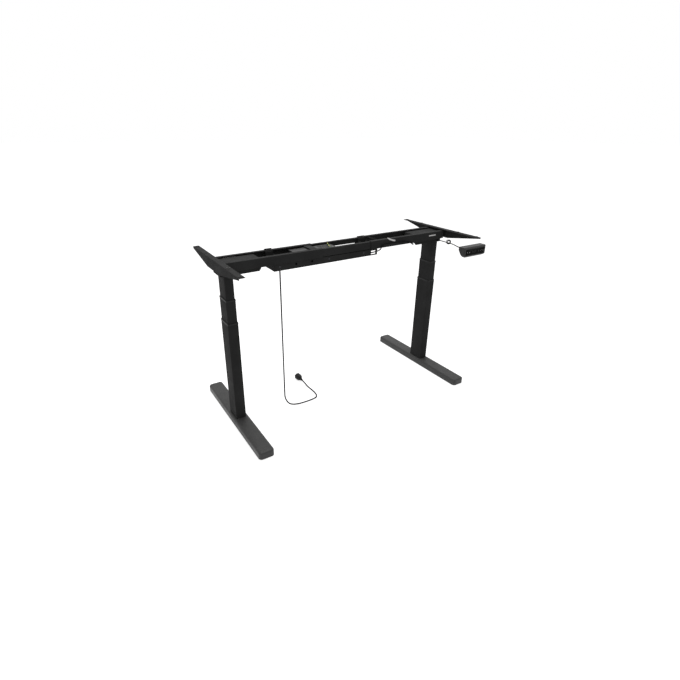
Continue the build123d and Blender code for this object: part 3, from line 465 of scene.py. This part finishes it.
def roll_point(turn):
    """A point of the rolled strap, which winds outwards."""
    reach = TIE_INSIDE + (TIE_OUTSIDE - TIE_INSIDE) * turn / TIE_TURNS
    angle = math.tau * turn
    return middle + (outward * math.cos(angle) + upward * math.sin(angle)) * reach


rolled = [roll_point(step / STEPS_A_TURN) for step in range(TIE_TURNS * STEPS_A_TURN + 1)]
tail = [rolled[-1] + (upward * 1.0 - outward * 0.35) * reach * MM for reach in (0.0, 5.0, 10.0, 15.0)]
bm = bmesh.new()
strap(bm, rolled, axle, 9.0, 1.9)
strap(bm, tail, axle, 8.0, 1.6)
cable_tie = finish_piece("handset_cable_tie", bm, "right_head", "plug_plastic")
print("tie sits at", [round(v, 3) for v in tie_at])

# %% [markdown]
# ## The motor cables
# Each motor's cable runs from the control box to its motor box. The left one stays inside the
# tray. The right one climbs out of the tray's end and lies along the front of the sliding rail.
# Both cross a width joint, and each is one mesh tube.

# %% Motor cables
MOTOR_CABLE = 0.006
LEFT_MOTOR_ROUTE = [
    place(-284.0, 22.0, 812.0),
    place(-320.0, 22.0, 812.0),
    place(-362.0, 34.0, 804.0),
    place(-422.0, 34.0, 807.0),
    place(-474.0, 30.0, 812.0),
]
RIGHT_MOTOR_ROUTE = [
    place(-45.0, -12.0, 812.0),
    place(-12.0, -12.0, 812.0),
    place(30.0, -34.0, 799.0),
    place(92.0, -50.0, 797.0),
    place(150.0, -52.0, 799.0),
    place(189.0, -52.0, 801.0),
    place(203.0, -72.0, 812.0),
    place(214.0, -70.5, 833.0),
    place(241.0, -70.0, 840.5),
    place(320.0, -69.5, 839.0),
    place(394.0, -69.6, 834.0),
    place(437.0, -72.5, 812.5),
    place(447.0, -43.0, 808.0),
    place(458.0, -31.5, 811.0),
    place(476.0, -30.0, 812.0),
]
left_cable = flex("left_motor_flex", LEFT_MOTOR_ROUTE, MOTOR_CABLE, "signal_flex")[0]
right_cable = flex("right_motor_flex", RIGHT_MOTOR_ROUTE, MOTOR_CABLE, "signal_flex")[0]
for cable in (left_cable, right_cable):
    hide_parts("motor_cables")
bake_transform(left_cable)
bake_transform(right_cable)

# %% [markdown]
# ## Glands on the control box
# Cables enter the box through glands: a hexagon nut against the wall and a domed cap that grips
# the cable. A hexagon comes from the same spin as a circle, in six steps.

# %% Cable glands
def gland(bm, spot, direction, girth, bore, tall=1.0):
    """A hexagon nut and a domed cap, with sizes in millimetres."""
    nut = [(bore, 0.1), (girth, 0.1), (girth + 0.7, 0.8), (girth + 0.7, 4.2), (girth, 5.0), (bore, 5.0),
           (bore, 0.1)]
    cap = [(bore, 4.8), (girth - 1.0, 4.8), (girth - 1.0, 8.0), (girth - 1.6, 10.0), (bore + 0.9, 12.0),
           (bore + 0.15, 12.4), (bore + 0.15, 11.0), (bore, 4.8)]
    for profile, steps in ((nut, 6), (cap, 28)):
        lathe(bm, [(radius, height * tall) for radius, height in profile], spot, direction, steps)


bm = bmesh.new()
gland(bm, LEFT_MOTOR_ROUTE[0], (-1, 0, 0), 6.6, 3.05)
gland(bm, RIGHT_MOTOR_ROUTE[0], (1, 0, 0), 6.6, 3.05)
gland(bm, place(-66.0, 24.0, 854.0), (0, 0, 1), 3.2, 1.6, tall=0.35)
finish_piece("cable_glands", bm, "centre_frame", "plug_plastic", smooth_under=25.0)
print("glands on the box:", 3)

# %% [markdown]
# ## Screws with hexagon sockets
# The screws are blackened zinc and have flat heads with a hexagon socket. A merged copy of each set
# keeps every head in its place. The round end face of a head is inset, the inset's corners are
# drawn onto a hexagon, and the hexagon is pushed in.

# %% Cut the sockets
SOCKET_SHARE = 0.56                     # corner of the socket, as a share of the head's radius
SOCKET_DEPTH = 1.5 * MM
SOCKET_INSET = 0.3                      # first inset, as a share of the head's radius
LEAST_HEAD = 4.2 * MM                   # radius of the smallest face that counts as a head
ROUND_SHARE = 0.9                       # a round face fills at least this share of its circle


def hexagon_reach(angle):
    """How far a hexagon's outline is from its middle, as a share of its corner's distance."""
    sector = math.radians(60)
    return math.cos(sector / 2) / math.cos(angle % sector - sector / 2)


def cut_socket(bm, face, middle, radius):
    """Push a hexagon socket into a round face."""
    normal = face.normal.copy()
    bmesh.ops.inset_individual(bm, faces=[face], thickness=radius * SOCKET_INSET, use_even_offset=True)
    first = normal.orthogonal().normalized()
    second = normal.cross(first)
    for vert in face.verts:
        arm = vert.co - middle
        angle = math.atan2(arm.dot(second), arm.dot(first))
        reach = radius * SOCKET_SHARE * hexagon_reach(angle)
        vert.co = middle + (first * math.cos(angle) + second * math.sin(angle)) * reach
    floor = bmesh.ops.extrude_discrete_faces(bm, faces=[face])["faces"][0]
    bmesh.ops.translate(bm, vec=-normal * SOCKET_DEPTH, verts=floor.verts)


def socket_every_head(bm, least_radius):
    """Give a socket to every full round face that is wide enough to be a head."""
    heads = []
    for face in bm.faces:
        middle = sum((v.co for v in face.verts), Vector()) / len(face.verts)
        radius = max((v.co - middle).length for v in face.verts)
        if radius > least_radius and face.calc_area() > ROUND_SHARE * math.pi * radius ** 2:
            heads.append((face, middle, radius))
    for head in heads:
        cut_socket(bm, *head)
    return len(heads)


for node in ("frame_screws", "left_bracket_bolts", "right_bracket_bolts"):
    bm = merged_copy(node)
    count = socket_every_head(bm, LEAST_HEAD)
    stand_in(node, bm, SCREW_EDGE)
    print(node, "has", count, "sockets")

# %% [markdown]
# The lid of the control box is held by four small screws with domed heads, and a round light pipe
# shows that the box has power. Both are turned profiles.

# %% Lid screws and light pipe
BOX_TOP = 854.0
bm = bmesh.new()
domed = [(0.0, 1.5), (1.3, 1.5), (1.6, 2.1), (2.6, 1.5), (3.2, 0.6), (3.3, -0.4)]
for x in (-275.0, -54.0):
    for y in (-31.0, 31.0):
        lathe(bm, domed, place(x, y, BOX_TOP), (0, 0, 1), steps=20)
finish_piece("lid_screws", bm, "centre_frame", "zinc_bolts")

bm = bmesh.new()
light_pipe = [(0.0, 1.6), (1.4, 1.4), (2.2, 0.8), (2.5, 0.0), (2.5, -0.5)]
lathe(bm, light_pipe, place(-64, -26, BOX_TOP), (0, 0, 1), steps=24)
finish_piece("power_light_pipe", bm, "centre_frame", "nylon_glide")

# %% [markdown]
# A black block in the rubber finish lies over the strap that holds the box up between the rails. It
# is painted shade: its dark tone stands in for the shadow on the band across the box. It is a soft
# block a little wider than the strap.

# %% Sleeve on the strap, a dark block of painted shade
bm = bmesh.new()
# painted shade: a dark block laid over the strap where the band across the box looks shadowed
soft_block(bm, place(-178.5, 0.0, 859.4), (36.0, 112.0, 1.4), 0.5)
finish_piece("strap_sleeve", bm, "centre_frame", "rubber_pad")
print("sleeve on the strap")

# %% [markdown]
# ## Rubber rings at the desktop screws
# Where the screws of the desktop go through the brackets, a low rubber ring keeps the desktop from
# creaking on the steel. Its profile is turned round each hole.

# %% Rubber rings
TOP_Z = 872.0
BRACKET_MIDDLE = (666.0, -23.5)
HOLE_SPACINGS = (549.0, 290.0)
rim = [(3.4, -0.1), (3.4, 2.2), (4.2, 3.0), (5.6, 3.3), (7.6, 3.1), (9.0, 2.0), (9.6, -0.1), (3.4, -0.1)]
for leg, side in (("left", -1), ("right", 1)):
    bm = bmesh.new()
    for spacing in HOLE_SPACINGS:
        for way in (-1, 1):
            spot = place(side * BRACKET_MIDDLE[0], BRACKET_MIDDLE[1] + way * spacing / 2, TOP_Z)
            lathe(bm, rim, spot, (0, 0, 1), steps=28)
    finish_piece(leg + "_screw_rings", bm, leg + "_head", "plug_plastic")
print("rings:", 4 * len(HOLE_SPACINGS))

# %% [markdown]
# ## Slide pads and a cable tie
# Each leg's sliding rail has a slot with a white nylon pad behind it, which takes the rattle out of
# the joint. The pad has a lip inside the rail and a raised middle that shows in the slot. On the
# right, a white cable tie at the end of the middle section holds the motor cable to the top edge
# of the front rail, and its tail lies down across the rail's face.

# %% Nylon pads
SLOT_X = 578.0
SLOT_Z = 845.0
SLIDE_FACE = 65.5
for leg, side in (("left", -1), ("right", 1)):
    way = -side
    bm = bmesh.new()
    soft_block(bm, place(side * SLOT_X, way * (SLIDE_FACE - 2.7), SLOT_Z), (62.0, 1.6, 15.0), 0.5)
    soft_block(bm, place(side * SLOT_X, way * (SLIDE_FACE - 1.2), SLOT_Z), (51.0, 2.2, 6.6), 0.8)
    finish_piece(leg + "_slide_pad", bm, leg + "_head", "nylon_glide")

TIE_WAY = [(259.0, -56.0, 864.1), (261.0, -64.5, 864.1), (263.0, -67.0, 863.0), (270.0, -67.3, 859.6),
           (284.0, -67.4, 854.6), (305.0, -67.0, 848.4)]
bm = bmesh.new()
strap(bm, [place(*spot) for spot in TIE_WAY], Vector((0.4, 0.0, 1.0)), 8.0, 1.3)
soft_block(bm, place(262.0, -60.0, 865.4), (6.0, 6.0, 3.6), 0.6)
finish_piece("rail_cable_tie", bm, "centre_frame", "nylon_glide")
print("pads and tie are in place")

# %% [markdown]
# ## Faces of the handset
# The keys carry printed signs: two arrows, two numbers and a dot in a ring for storing a height.
# Each sign is a thin raised print, built flat, stood up against the key, and made a mesh before it
# is placed. The display shows three unlit digits of seven bars.

# %% Signs on the keys
KEY_FACE_Y = -440.0
KEY_Z = 848.0
KEY_X = {"up": 448.0, "down": 464.0, "one": 528.0, "two": 543.0, "store": 558.0}
PRINT = 0.06 * MM


def stand_up(bm, x, z, face_y):
    """Turn a flat sign that faces up so that it faces the front, at a place in millimetres."""
    upright = Matrix.Rotation(math.radians(90), 3, "X")
    bmesh.ops.rotate(bm, cent=(0, 0, 0), matrix=upright, verts=bm.verts)
    bmesh.ops.translate(bm, vec=place(x, face_y, z), verts=bm.verts)


def raised(bm, height=PRINT):
    """Give a flat sign its thickness, upwards."""
    top = bmesh.ops.extrude_face_region(bm, geom=bm.faces[:])["geom"]
    verts = [part for part in top if isinstance(part, bmesh.types.BMVert)]
    bmesh.ops.translate(bm, vec=(0, 0, height), verts=verts)


def arrow_sign(turned):
    """A triangle that points up the key, or down it."""
    bm = bmesh.new()
    bmesh.ops.create_circle(bm, cap_ends=True, segments=3, radius=2.5 * MM)
    flip = Matrix.Rotation(math.radians(180 if turned else 0), 3, "Z")
    bmesh.ops.rotate(bm, cent=(0, 0, 0), matrix=flip, verts=bm.verts)
    return bm


def ring_sign():
    """A ring with a dot in it."""
    bm = bmesh.new()
    bmesh.ops.create_circle(bm, cap_ends=True, segments=32, radius=2.3 * MM)
    bmesh.ops.inset_individual(bm, faces=bm.faces[:], thickness=0.55 * MM)
    middle = max(bm.faces, key=lambda face: len(face.verts))
    bmesh.ops.inset_individual(bm, faces=[middle], thickness=0.9 * MM)
    bridge = [face for face in bm.faces if 1.0 * MM < face.calc_center_median().length < 1.7 * MM]
    bmesh.ops.delete(bm, geom=bridge, context="FACES")
    return bm


def number_sign(text):
    """A number from the plain built-in font."""
    letter = bpy.data.curves.new("number", "FONT")
    letter.body = text
    letter.size = 6.0 * MM
    letter.align_x = "CENTER"
    letter.align_y = "CENTER"
    mesh = curve_to_mesh(add_object("number", letter), "number")
    bm = bmesh.new()
    bm.from_mesh(mesh)
    bpy.data.meshes.remove(mesh)
    bmesh.ops.remove_doubles(bm, verts=bm.verts, dist=1e-7)
    return bm


SIGNS = {"up": arrow_sign(False), "down": arrow_sign(True), "one": number_sign("1"),
         "two": number_sign("2"), "store": ring_sign()}
for key, bm in SIGNS.items():
    raised(bm)
    stand_up(bm, KEY_X[key], KEY_Z, KEY_FACE_Y)
    finish_piece("sign_" + key, bm, key + "_key", "key_plastic")
print("signs:", ", ".join(SIGNS))

# %% Display digits
DISPLAY_X = 496.0
DISPLAY_FACE_Y = -438.6
BAR_SPOTS = [(0, 5.0, 0), (0, 0.0, 0), (0, -5.0, 0), (-2.6, 2.5, 90), (2.6, 2.5, 90), (-2.6, -2.5, 90),
             (2.6, -2.5, 90)]
display = bmesh.new()
for digit in (-9.5, 0.0, 9.5):
    for across_by, up_by, turned in BAR_SPOTS:
        bar = bmesh.ops.create_circle(display, cap_ends=True, segments=6, radius=1.0 * MM)["verts"]
        bmesh.ops.scale(display, vec=(2.1, 0.55, 1.0), verts=bar)
        lean = Matrix.Rotation(math.radians(turned), 3, "Z")
        bmesh.ops.rotate(display, cent=(0, 0, 0), matrix=lean, verts=bar)
        bmesh.ops.translate(display, vec=((digit + across_by) * MM, up_by * MM, 0), verts=bar)
raised(display, 0.04 * MM)
stand_up(display, DISPLAY_X, KEY_Z, DISPLAY_FACE_Y)
finish_piece("display_bars", display, "right_head", "handset_window")
print("bars in the display:", 3 * len(BAR_SPOTS))

# %% [markdown]
# # Finishes
# Effects that several finishes share are shader node groups: a slow drift between two tones, a
# fine skin that varies roughness and relief, the dust that settles on upward faces, and the fine
# lines of a brush or a lathe. A group only puts out values that change over the surface, and every
# constant stays on the shader itself.

# %% Helpers for node trees
def new_group(name, inputs, outputs):
    """An empty shader node group with named sockets."""
    tree = bpy.data.node_groups.new(name, "ShaderNodeTree")
    for label, kind, value in inputs:
        socket = tree.interface.new_socket(name=label, in_out="INPUT", socket_type="NodeSocket" + kind)
        socket.default_value = value
    for label, kind in outputs:
        tree.interface.new_socket(name=label, in_out="OUTPUT", socket_type="NodeSocket" + kind)
    return tree, tree.nodes.new("NodeGroupInput").outputs, tree.nodes.new("NodeGroupOutput").inputs


def node(tree, kind, links=(), **settings):
    """Add a node, set its options, and give values or links to its inputs."""
    made = tree.nodes.new(kind)
    for option, value in settings.items():
        setattr(made, option, value)
    for socket, source in dict(links).items():
        if isinstance(source, bpy.types.NodeSocket):
            tree.links.new(source, made.inputs[socket])
        else:
            made.inputs[socket].default_value = source
    return made.outputs


def object_place(tree, stretch=(1.0, 1.0, 1.0)):
    """Object coordinates, stretched along each axis."""
    spot = node(tree, "ShaderNodeTexCoord")["Object"]
    return node(tree, "ShaderNodeMapping", {"Vector": spot, "Scale": stretch})["Vector"]


# %% [markdown]
# The drift is a soft noise a few centimetres wide. The skin adds two things: broad patches of more
# and less gloss, and the pebbled relief of a sprayed or moulded surface. Dust reads the direction
# that a face looks in, so it lies on top and never underneath.

# %% Tone, skin and dust
tone_group, give, take = new_group(
    "tone_drift",
    [("Dark", "Color", (0.01, 0.01, 0.01, 1)), ("Light", "Color", (0.02, 0.02, 0.02, 1)),
     ("Width", "Float", 9.0)],
    [("Color", "Color")])
drift = node(tone_group, "ShaderNodeTexNoise", {"Vector": object_place(tone_group), "Scale": give["Width"],
                                               "Detail": 3.0, "Roughness": 0.55})["Fac"]
drift = node(tone_group, "ShaderNodeMapRange", {"Value": drift, "From Min": 0.3, "From Max": 0.7})["Result"]
mix = tone_group.nodes.new("ShaderNodeMix")
mix.data_type = "RGBA"
for socket, source in ((mix.inputs[0], drift), (mix.inputs[6], give["Dark"]), (mix.inputs[7], give["Light"])):
    tone_group.links.new(source, socket)
tone_group.links.new(mix.outputs[2], take["Color"])

skin_group, give, take = new_group(
    "fine_skin",
    [("Grain", "Float", 900.0), ("Relief", "Float", 0.2), ("Gloss Low", "Float", 0.45),
     ("Gloss High", "Float", 0.55)],
    [("Roughness", "Float"), ("Normal", "Vector")])
spot = object_place(skin_group)
pebble = node(skin_group, "ShaderNodeTexNoise", {"Vector": spot, "Scale": give["Grain"],
                                                 "Detail": 2.0})["Fac"]
patch = node(skin_group, "ShaderNodeTexNoise", {"Vector": spot, "Scale": 14.0, "Detail": 2.0})["Fac"]
rough = node(skin_group, "ShaderNodeMapRange", {"Value": patch, "From Min": 0.3, "From Max": 0.7,
                                                "To Min": give["Gloss Low"], "To Max": give["Gloss High"]})
skin_group.links.new(rough["Result"], take["Roughness"])
bump = node(skin_group, "ShaderNodeBump", {"Strength": give["Relief"], "Distance": 0.0004, "Height": pebble})
skin_group.links.new(bump["Normal"], take["Normal"])

dust_group, give, take = new_group("settled_dust", [("Amount", "Float", 0.1)], [("Mask", "Float")])
facing_up = node(dust_group, "ShaderNodeNewGeometry")["Normal"]
facing_up = node(dust_group, "ShaderNodeSeparateXYZ", {"Vector": facing_up})["Z"]
facing_up = node(dust_group, "ShaderNodeMapRange", {"Value": facing_up, "From Min": 0.6,
                                                    "From Max": 1.0})["Result"]
specks = node(dust_group, "ShaderNodeTexNoise", {"Vector": object_place(dust_group), "Scale": 320.0,
                                                 "Detail": 4.0})["Fac"]
specks = node(dust_group, "ShaderNodeMapRange", {"Value": specks, "From Min": 0.42,
                                                 "From Max": 0.75})["Result"]
lying = node(dust_group, "ShaderNodeMath", {0: facing_up, 1: specks}, operation="MULTIPLY")["Value"]
lying = node(dust_group, "ShaderNodeMath", {0: lying, 1: give["Amount"]}, operation="MULTIPLY")["Value"]
dust_group.links.new(lying, take["Mask"])
print("groups:", [group.name for group in bpy.data.node_groups])

# %% [markdown]
# Brushed and turned metal differs by direction only: the noise is squeezed along the lines that
# the tool leaves, so its inputs are three scales.

# %% Tool lines
line_group, give, take = new_group(
    "tool_lines",
    [("Stretch", "Vector", (1.0, 1.0, 1.0)), ("Relief", "Float", 0.2), ("Gloss Low", "Float", 0.25),
     ("Gloss High", "Float", 0.4)],
    [("Roughness", "Float"), ("Normal", "Vector"), ("Line", "Float")])
spot = node(line_group, "ShaderNodeTexCoord")["Object"]
spot = node(line_group, "ShaderNodeVectorMath", {0: spot, 1: give["Stretch"]}, operation="MULTIPLY")["Vector"]
line = node(line_group, "ShaderNodeTexNoise", {"Vector": spot, "Scale": 1.0, "Detail": 4.0,
                                               "Roughness": 0.65})["Fac"]
rough = node(line_group, "ShaderNodeMapRange", {"Value": line, "From Min": 0.3, "From Max": 0.7,
                                                "To Min": give["Gloss Low"], "To Max": give["Gloss High"]})
bump = node(line_group, "ShaderNodeBump", {"Strength": give["Relief"], "Distance": 0.0002, "Height": line})
for source, label in ((rough["Result"], "Roughness"), (bump["Normal"], "Normal"), (line, "Line")):
    line_group.links.new(source, take[label])

# %% [markdown]
# ## Coats, plastics and rubber
# They are one kind of surface to the shader: a body colour under a clear skin. They differ in tone,
# gloss, grain and how much dust shows, so one helper makes them all from those values. Dark
# powder coat is never as black as it looks, and its pebbled skin is what spreads the highlights.

# %% Coated and moulded finishes
DUST_TONE = (0.32, 0.31, 0.29, 1.0)
finishes = {}


def grey(value, warm=0.0):
    """A grey of one brightness, a little warmer or cooler."""
    return (value * (1 + warm), value, value * (1 - warm), 1.0)


def new_finish(name, specular, coat=0.0):
    """A material whose constants sit on the shader itself."""
    material = bpy.data.materials.new(name)
    material.use_nodes = True
    tree = material.node_tree
    shader = tree.nodes["Principled BSDF"]
    shader.inputs["Specular IOR Level"].default_value = specular
    shader.inputs["Coat Weight"].default_value = coat
    shader.inputs["Coat Roughness"].default_value = 0.08
    finishes[name] = material
    return tree, shader


def shared(tree, group, **values):
    """One of the shared effects, with its own values."""
    made = tree.nodes.new("ShaderNodeGroup")
    made.node_tree = group
    for label, value in values.items():
        made.inputs[label.replace("_", " ")].default_value = value
    return made.outputs


def mixed(tree, factor, first, second):
    """Two colours mixed by a mask."""
    mix = tree.nodes.new("ShaderNodeMix")
    mix.data_type = "RGBA"
    for socket, source in ((0, factor), (6, first), (7, second)):
        if isinstance(source, bpy.types.NodeSocket):
            tree.links.new(source, mix.inputs[socket])
        else:
            mix.inputs[socket].default_value = source
    return mix.outputs[2]


def moulded_finish(name, dark, light, gloss, grain, relief, dust=0.0, specular=0.3, coat=0.0, width=9.0):
    """Powder coat, plastic or rubber."""
    tree, shader = new_finish(name, specular, coat)
    colour = shared(tree, tone_group, Dark=dark, Light=light, Width=width)["Color"]
    if dust:
        mask = shared(tree, dust_group, Amount=dust)["Mask"]
        colour = mixed(tree, mask, colour, DUST_TONE)
    tree.links.new(colour, shader.inputs["Base Color"])
    skin = shared(tree, skin_group, Grain=grain, Relief=relief, Gloss_Low=gloss[0], Gloss_High=gloss[1])
    tree.links.new(skin["Roughness"], shader.inputs["Roughness"])
    tree.links.new(skin["Normal"], shader.inputs["Normal"])
    return tree, shader


moulded_finish("black_powder_coat", grey(0.033), grey(0.045), (0.54, 0.66), 1100.0, 0.30, dust=0.02,
               specular=0.02)
moulded_finish("foot_powder_coat", grey(0.042), grey(0.060), (0.42, 0.54), 1100.0, 0.32, dust=0.15,
               specular=0.30)
moulded_finish("box_plastic", grey(0.020), grey(0.028), (0.40, 0.50), 2400.0, 0.35, dust=0.08, specular=0.3)
moulded_finish("handset_plastic", grey(0.022), grey(0.028), (0.38, 0.48), 3000.0, 0.30, specular=0.25)
moulded_finish("handset_window", grey(0.002), grey(0.004), (0.22, 0.30), 200.0, 0.02, specular=0.03)
moulded_finish("key_plastic", grey(0.005), grey(0.008), (0.30, 0.38), 3000.0, 0.2, specular=0.08)
moulded_finish("plug_plastic", grey(0.012), grey(0.018), (0.40, 0.52), 2200.0, 0.4, dust=0.05, specular=0.2)
moulded_finish("mains_flex", grey(0.006), grey(0.010), (0.56, 0.66), 900.0, 0.25, specular=0.04, width=30.0)
moulded_finish("signal_flex", grey(0.006), grey(0.010), (0.56, 0.66), 900.0, 0.25, specular=0.04, width=30.0)
moulded_finish("rubber_pad", grey(0.008), grey(0.016), (0.72, 0.86), 1800.0, 0.6, specular=0.25, width=60.0)
moulded_finish("nylon_glide", grey(0.84, 0.015), grey(0.90, 0.01), (0.42, 0.52), 1500.0, 0.15, specular=0.5)
moulded_finish("key_print", grey(0.62), grey(0.72), (0.45, 0.55), 2500.0, 0.1)
moulded_finish("display_bar", grey(0.020), grey(0.026), (0.20, 0.30), 900.0, 0.02)
print("coated and moulded finishes:", len(finishes))

# %% [markdown]
# ## Bare and plated metals
# Ground steel carries fine lines along the column. The bolts are zinc plated and blackened, which
# gives a cloudy, faintly blue grey. Bronze is warm and turned about the column's axis. The gearbox
# is a sand-blasted casting, so it gets a grain in place of lines.

# %% Metal finishes
def metal_finish(name, dark, light, gloss, stretch, relief, width=40.0):
    """Bare metal with the lines of its tool."""
    tree, shader = new_finish(name, 0.5)
    shader.inputs["Metallic"].default_value = 1.0
    lines = shared(tree, line_group, Stretch=stretch, Relief=relief, Gloss_Low=gloss[0], Gloss_High=gloss[1])
    base = shared(tree, tone_group, Dark=dark, Light=light, Width=width)["Color"]
    worn = shared(tree, tone_group, Dark=light, Light=dark, Width=width * 3)["Color"]
    tree.links.new(mixed(tree, lines["Line"], base, worn), shader.inputs["Base Color"])
    tree.links.new(lines["Roughness"], shader.inputs["Roughness"])
    tree.links.new(lines["Normal"], shader.inputs["Normal"])
    return tree, shader


metal_finish("bright_steel", grey(0.46), grey(0.58), (0.24, 0.38), (900.0, 900.0, 12.0), 0.25)
metal_finish("zinc_bolts", (0.030, 0.030, 0.032, 1), (0.055, 0.055, 0.060, 1), (0.34, 0.48),
             (500.0, 500.0, 500.0), 0.18)
metal_finish("bronze_nut", (0.42, 0.25, 0.11, 1), (0.60, 0.38, 0.17, 1), (0.30, 0.44),
             (60.0, 60.0, 1500.0), 0.30)
metal_finish("motor_can", grey(0.20), grey(0.28), (0.34, 0.46), (1400.0, 60.0, 60.0), 0.25)
metal_finish("gear_housing", grey(0.34), grey(0.44), (0.50, 0.64), (700.0, 700.0, 700.0), 0.7)
print("finishes so far:", len(finishes))

# %% [markdown]
# ## The board and the earth wire
# The board is green lacquer over a grid of copper tracks: a brick pattern gives the tracks, and the
# lacquer is lighter and slightly raised over them. The earth wire is green with a yellow stripe
# that winds round it, which a slanted wave through the wire gives.

# %% Lacquered board
tree, shader = moulded_finish("board_green", (0.006, 0.055, 0.022, 1), (0.010, 0.085, 0.034, 1),
                              (0.26, 0.36), 1500.0, 0.1, specular=0.5, coat=0.3)
tracks = node(tree, "ShaderNodeTexBrick", {"Vector": object_place(tree, (1.0, 1.0, 1.0)), "Scale": 40.0,
                                          "Mortar Size": 0.035, "Mortar Smooth": 0.2, "Brick Width": 0.7,
                                          "Row Height": 0.18})["Fac"]
lacquer = shader.inputs["Base Color"].links[0].from_socket
tree.links.new(mixed(tree, tracks, lacquer, (0.030, 0.20, 0.070, 1)), shader.inputs["Base Color"])
relief = node(tree, "ShaderNodeBump", {"Height": tracks, "Distance": 0.0001, "Strength": 0.6,
                                       "Normal": shader.inputs["Normal"].links[0].from_socket})
tree.links.new(relief["Normal"], shader.inputs["Normal"])

# %% Striped earth wire
tree, shader = moulded_finish("earth_flex", (0.02, 0.16, 0.03, 1), (0.03, 0.21, 0.04, 1),
                              (0.34, 0.44), 1200.0, 0.15, specular=0.5)
winding = node(tree, "ShaderNodeTexWave", {"Vector": object_place(tree, (90.0, 60.0, 120.0)), "Scale": 0.32,
                                          "Distortion": 0.4}, wave_profile="SIN")["Fac"]
stripe = node(tree, "ShaderNodeMapRange", {"Value": winding, "From Min": 0.46, "From Max": 0.54})["Result"]
green = shader.inputs["Base Color"].links[0].from_socket
tree.links.new(mixed(tree, stripe, green, (0.72, 0.60, 0.03, 1)), shader.inputs["Base Color"])
print("finishes:", len(finishes))

# %% [markdown]
# ## Give every part its finish
# A part's finish is the one its material slot names, and a piece takes the finish of the slot it
# was given. The printed signs and the display's bars are the only exceptions.

# %% Assign the finishes
SPECIAL = {"sign_": "key_print", "display_": "display_bar"}


def dress(piece, finish):
    """Give a piece one finish."""
    piece.data.materials.clear()
    piece.data.materials.append(finishes[finish])


for name, part in nodes.items():
    for material_slot in part.material_slots:
        material_slot.link = "OBJECT"
        material_slot.material = finishes[slot_of_node[name]]
bare = [name for name, part in nodes.items() if not part.material_slots]
for piece in scene.objects:
    if "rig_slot" in piece:
        special = [finish for start, finish in SPECIAL.items() if piece.name.startswith(start)]
        dress(piece, special[0] if special else piece["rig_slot"])
dressed = sum("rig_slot" in piece for piece in scene.objects)
print("dressed", dressed, "pieces and", len(nodes), "parts, bare:", bare)

# %% [markdown]
# # The stage
# The floor is one pale plane, lit plainly. Rays from the camera, and rays that bounce off metal or
# through glass, also see some light of its own, which lifts it to white without adding any light
# to the object. Where the desk shades the floor, the shade still shows.

# %% Floor
FLOOR_GLOW = 0.78
FLOOR_HALF = 40.0


def seen_rays(tree):
    """One for rays that the camera, metal or glass sees by, and nothing for the others."""
    rays = node(tree, "ShaderNodeLightPath")
    seen = rays["Is Camera Ray"]
    for kind in ("Is Glossy Ray", "Is Transmission Ray"):
        seen = node(tree, "ShaderNodeMath", {0: seen, 1: rays[kind]}, operation="MAXIMUM")["Value"]
    return seen


tree, shader = new_finish("pale_floor", 0.1)
colour = shared(tree, tone_group, Dark=grey(0.79), Light=grey(0.81), Width=2.0)["Color"]
tree.links.new(colour, shader.inputs["Base Color"])
shader.inputs["Roughness"].default_value = 0.9
glow = node(tree, "ShaderNodeEmission", {"Color": (1, 1, 1, 1), "Strength": FLOOR_GLOW})["Emission"]
dark = node(tree, "ShaderNodeEmission", {"Color": (0, 0, 0, 1), "Strength": 0.0})["Emission"]
lift = node(tree, "ShaderNodeMixShader", {0: seen_rays(tree), 1: dark, 2: glow})["Shader"]
total = node(tree, "ShaderNodeAddShader", {0: shader.outputs["BSDF"], 1: lift})["Shader"]
tree.links.new(total, tree.nodes["Material Output"].inputs["Surface"])

bm = bmesh.new()
bmesh.ops.create_grid(bm, x_segments=8, y_segments=8, size=FLOOR_HALF)
floor_mesh = bpy.data.meshes.new("floor")
bm.to_mesh(floor_mesh)
bm.free()
floor = add_object("floor", floor_mesh)
floor_mesh.materials.append(finishes["pale_floor"])

# %% [markdown]
# The world is an even grey to the object and plain white to the camera. A large soft lamp
# hangs over the desk, and a faint second one stands at the left, so that the left faces of the
# columns are a little lighter than their fronts.

# %% World and lamps
WORLD_ON_DESK = 0.36                    # the world's strength as it lights the object
world = bpy.data.worlds.new("studio")
scene.world = world
world.use_nodes = True
tree = world.node_tree
strength = node(tree, "ShaderNodeMapRange", {"Value": seen_rays(tree), "To Min": WORLD_ON_DESK,
                                             "To Max": 1.0})["Result"]
tree.links.new(strength, tree.nodes["Background"].inputs["Strength"])
tree.nodes["Background"].inputs["Color"].default_value = (1, 1, 1, 1)


def soft_lamp(name, spot, aim, size, power):
    """A rectangular lamp at a spot, turned towards its aim."""
    lamp = bpy.data.lights.new(name, "AREA")
    lamp.shape = "RECTANGLE"
    lamp.size, lamp.size_y = size
    lamp.energy = power
    holder = add_object(name, lamp)
    turn = (Vector(aim) - Vector(spot)).to_track_quat("-Z", "Y").to_matrix().to_4x4()
    holder.matrix_world = Matrix.Translation(spot) @ turn


soft_lamp("overhead", (0.0, 0.4, 3.4), (0.0, 0.0, 0.4), (1.6, 2.0), 52.0)
soft_lamp("left_fill", (-3.4, 0.2, 1.6), (0.0, 0.0, 0.5), (2.0, 2.0), 0.5)
scene.view_settings.view_transform = "Standard"
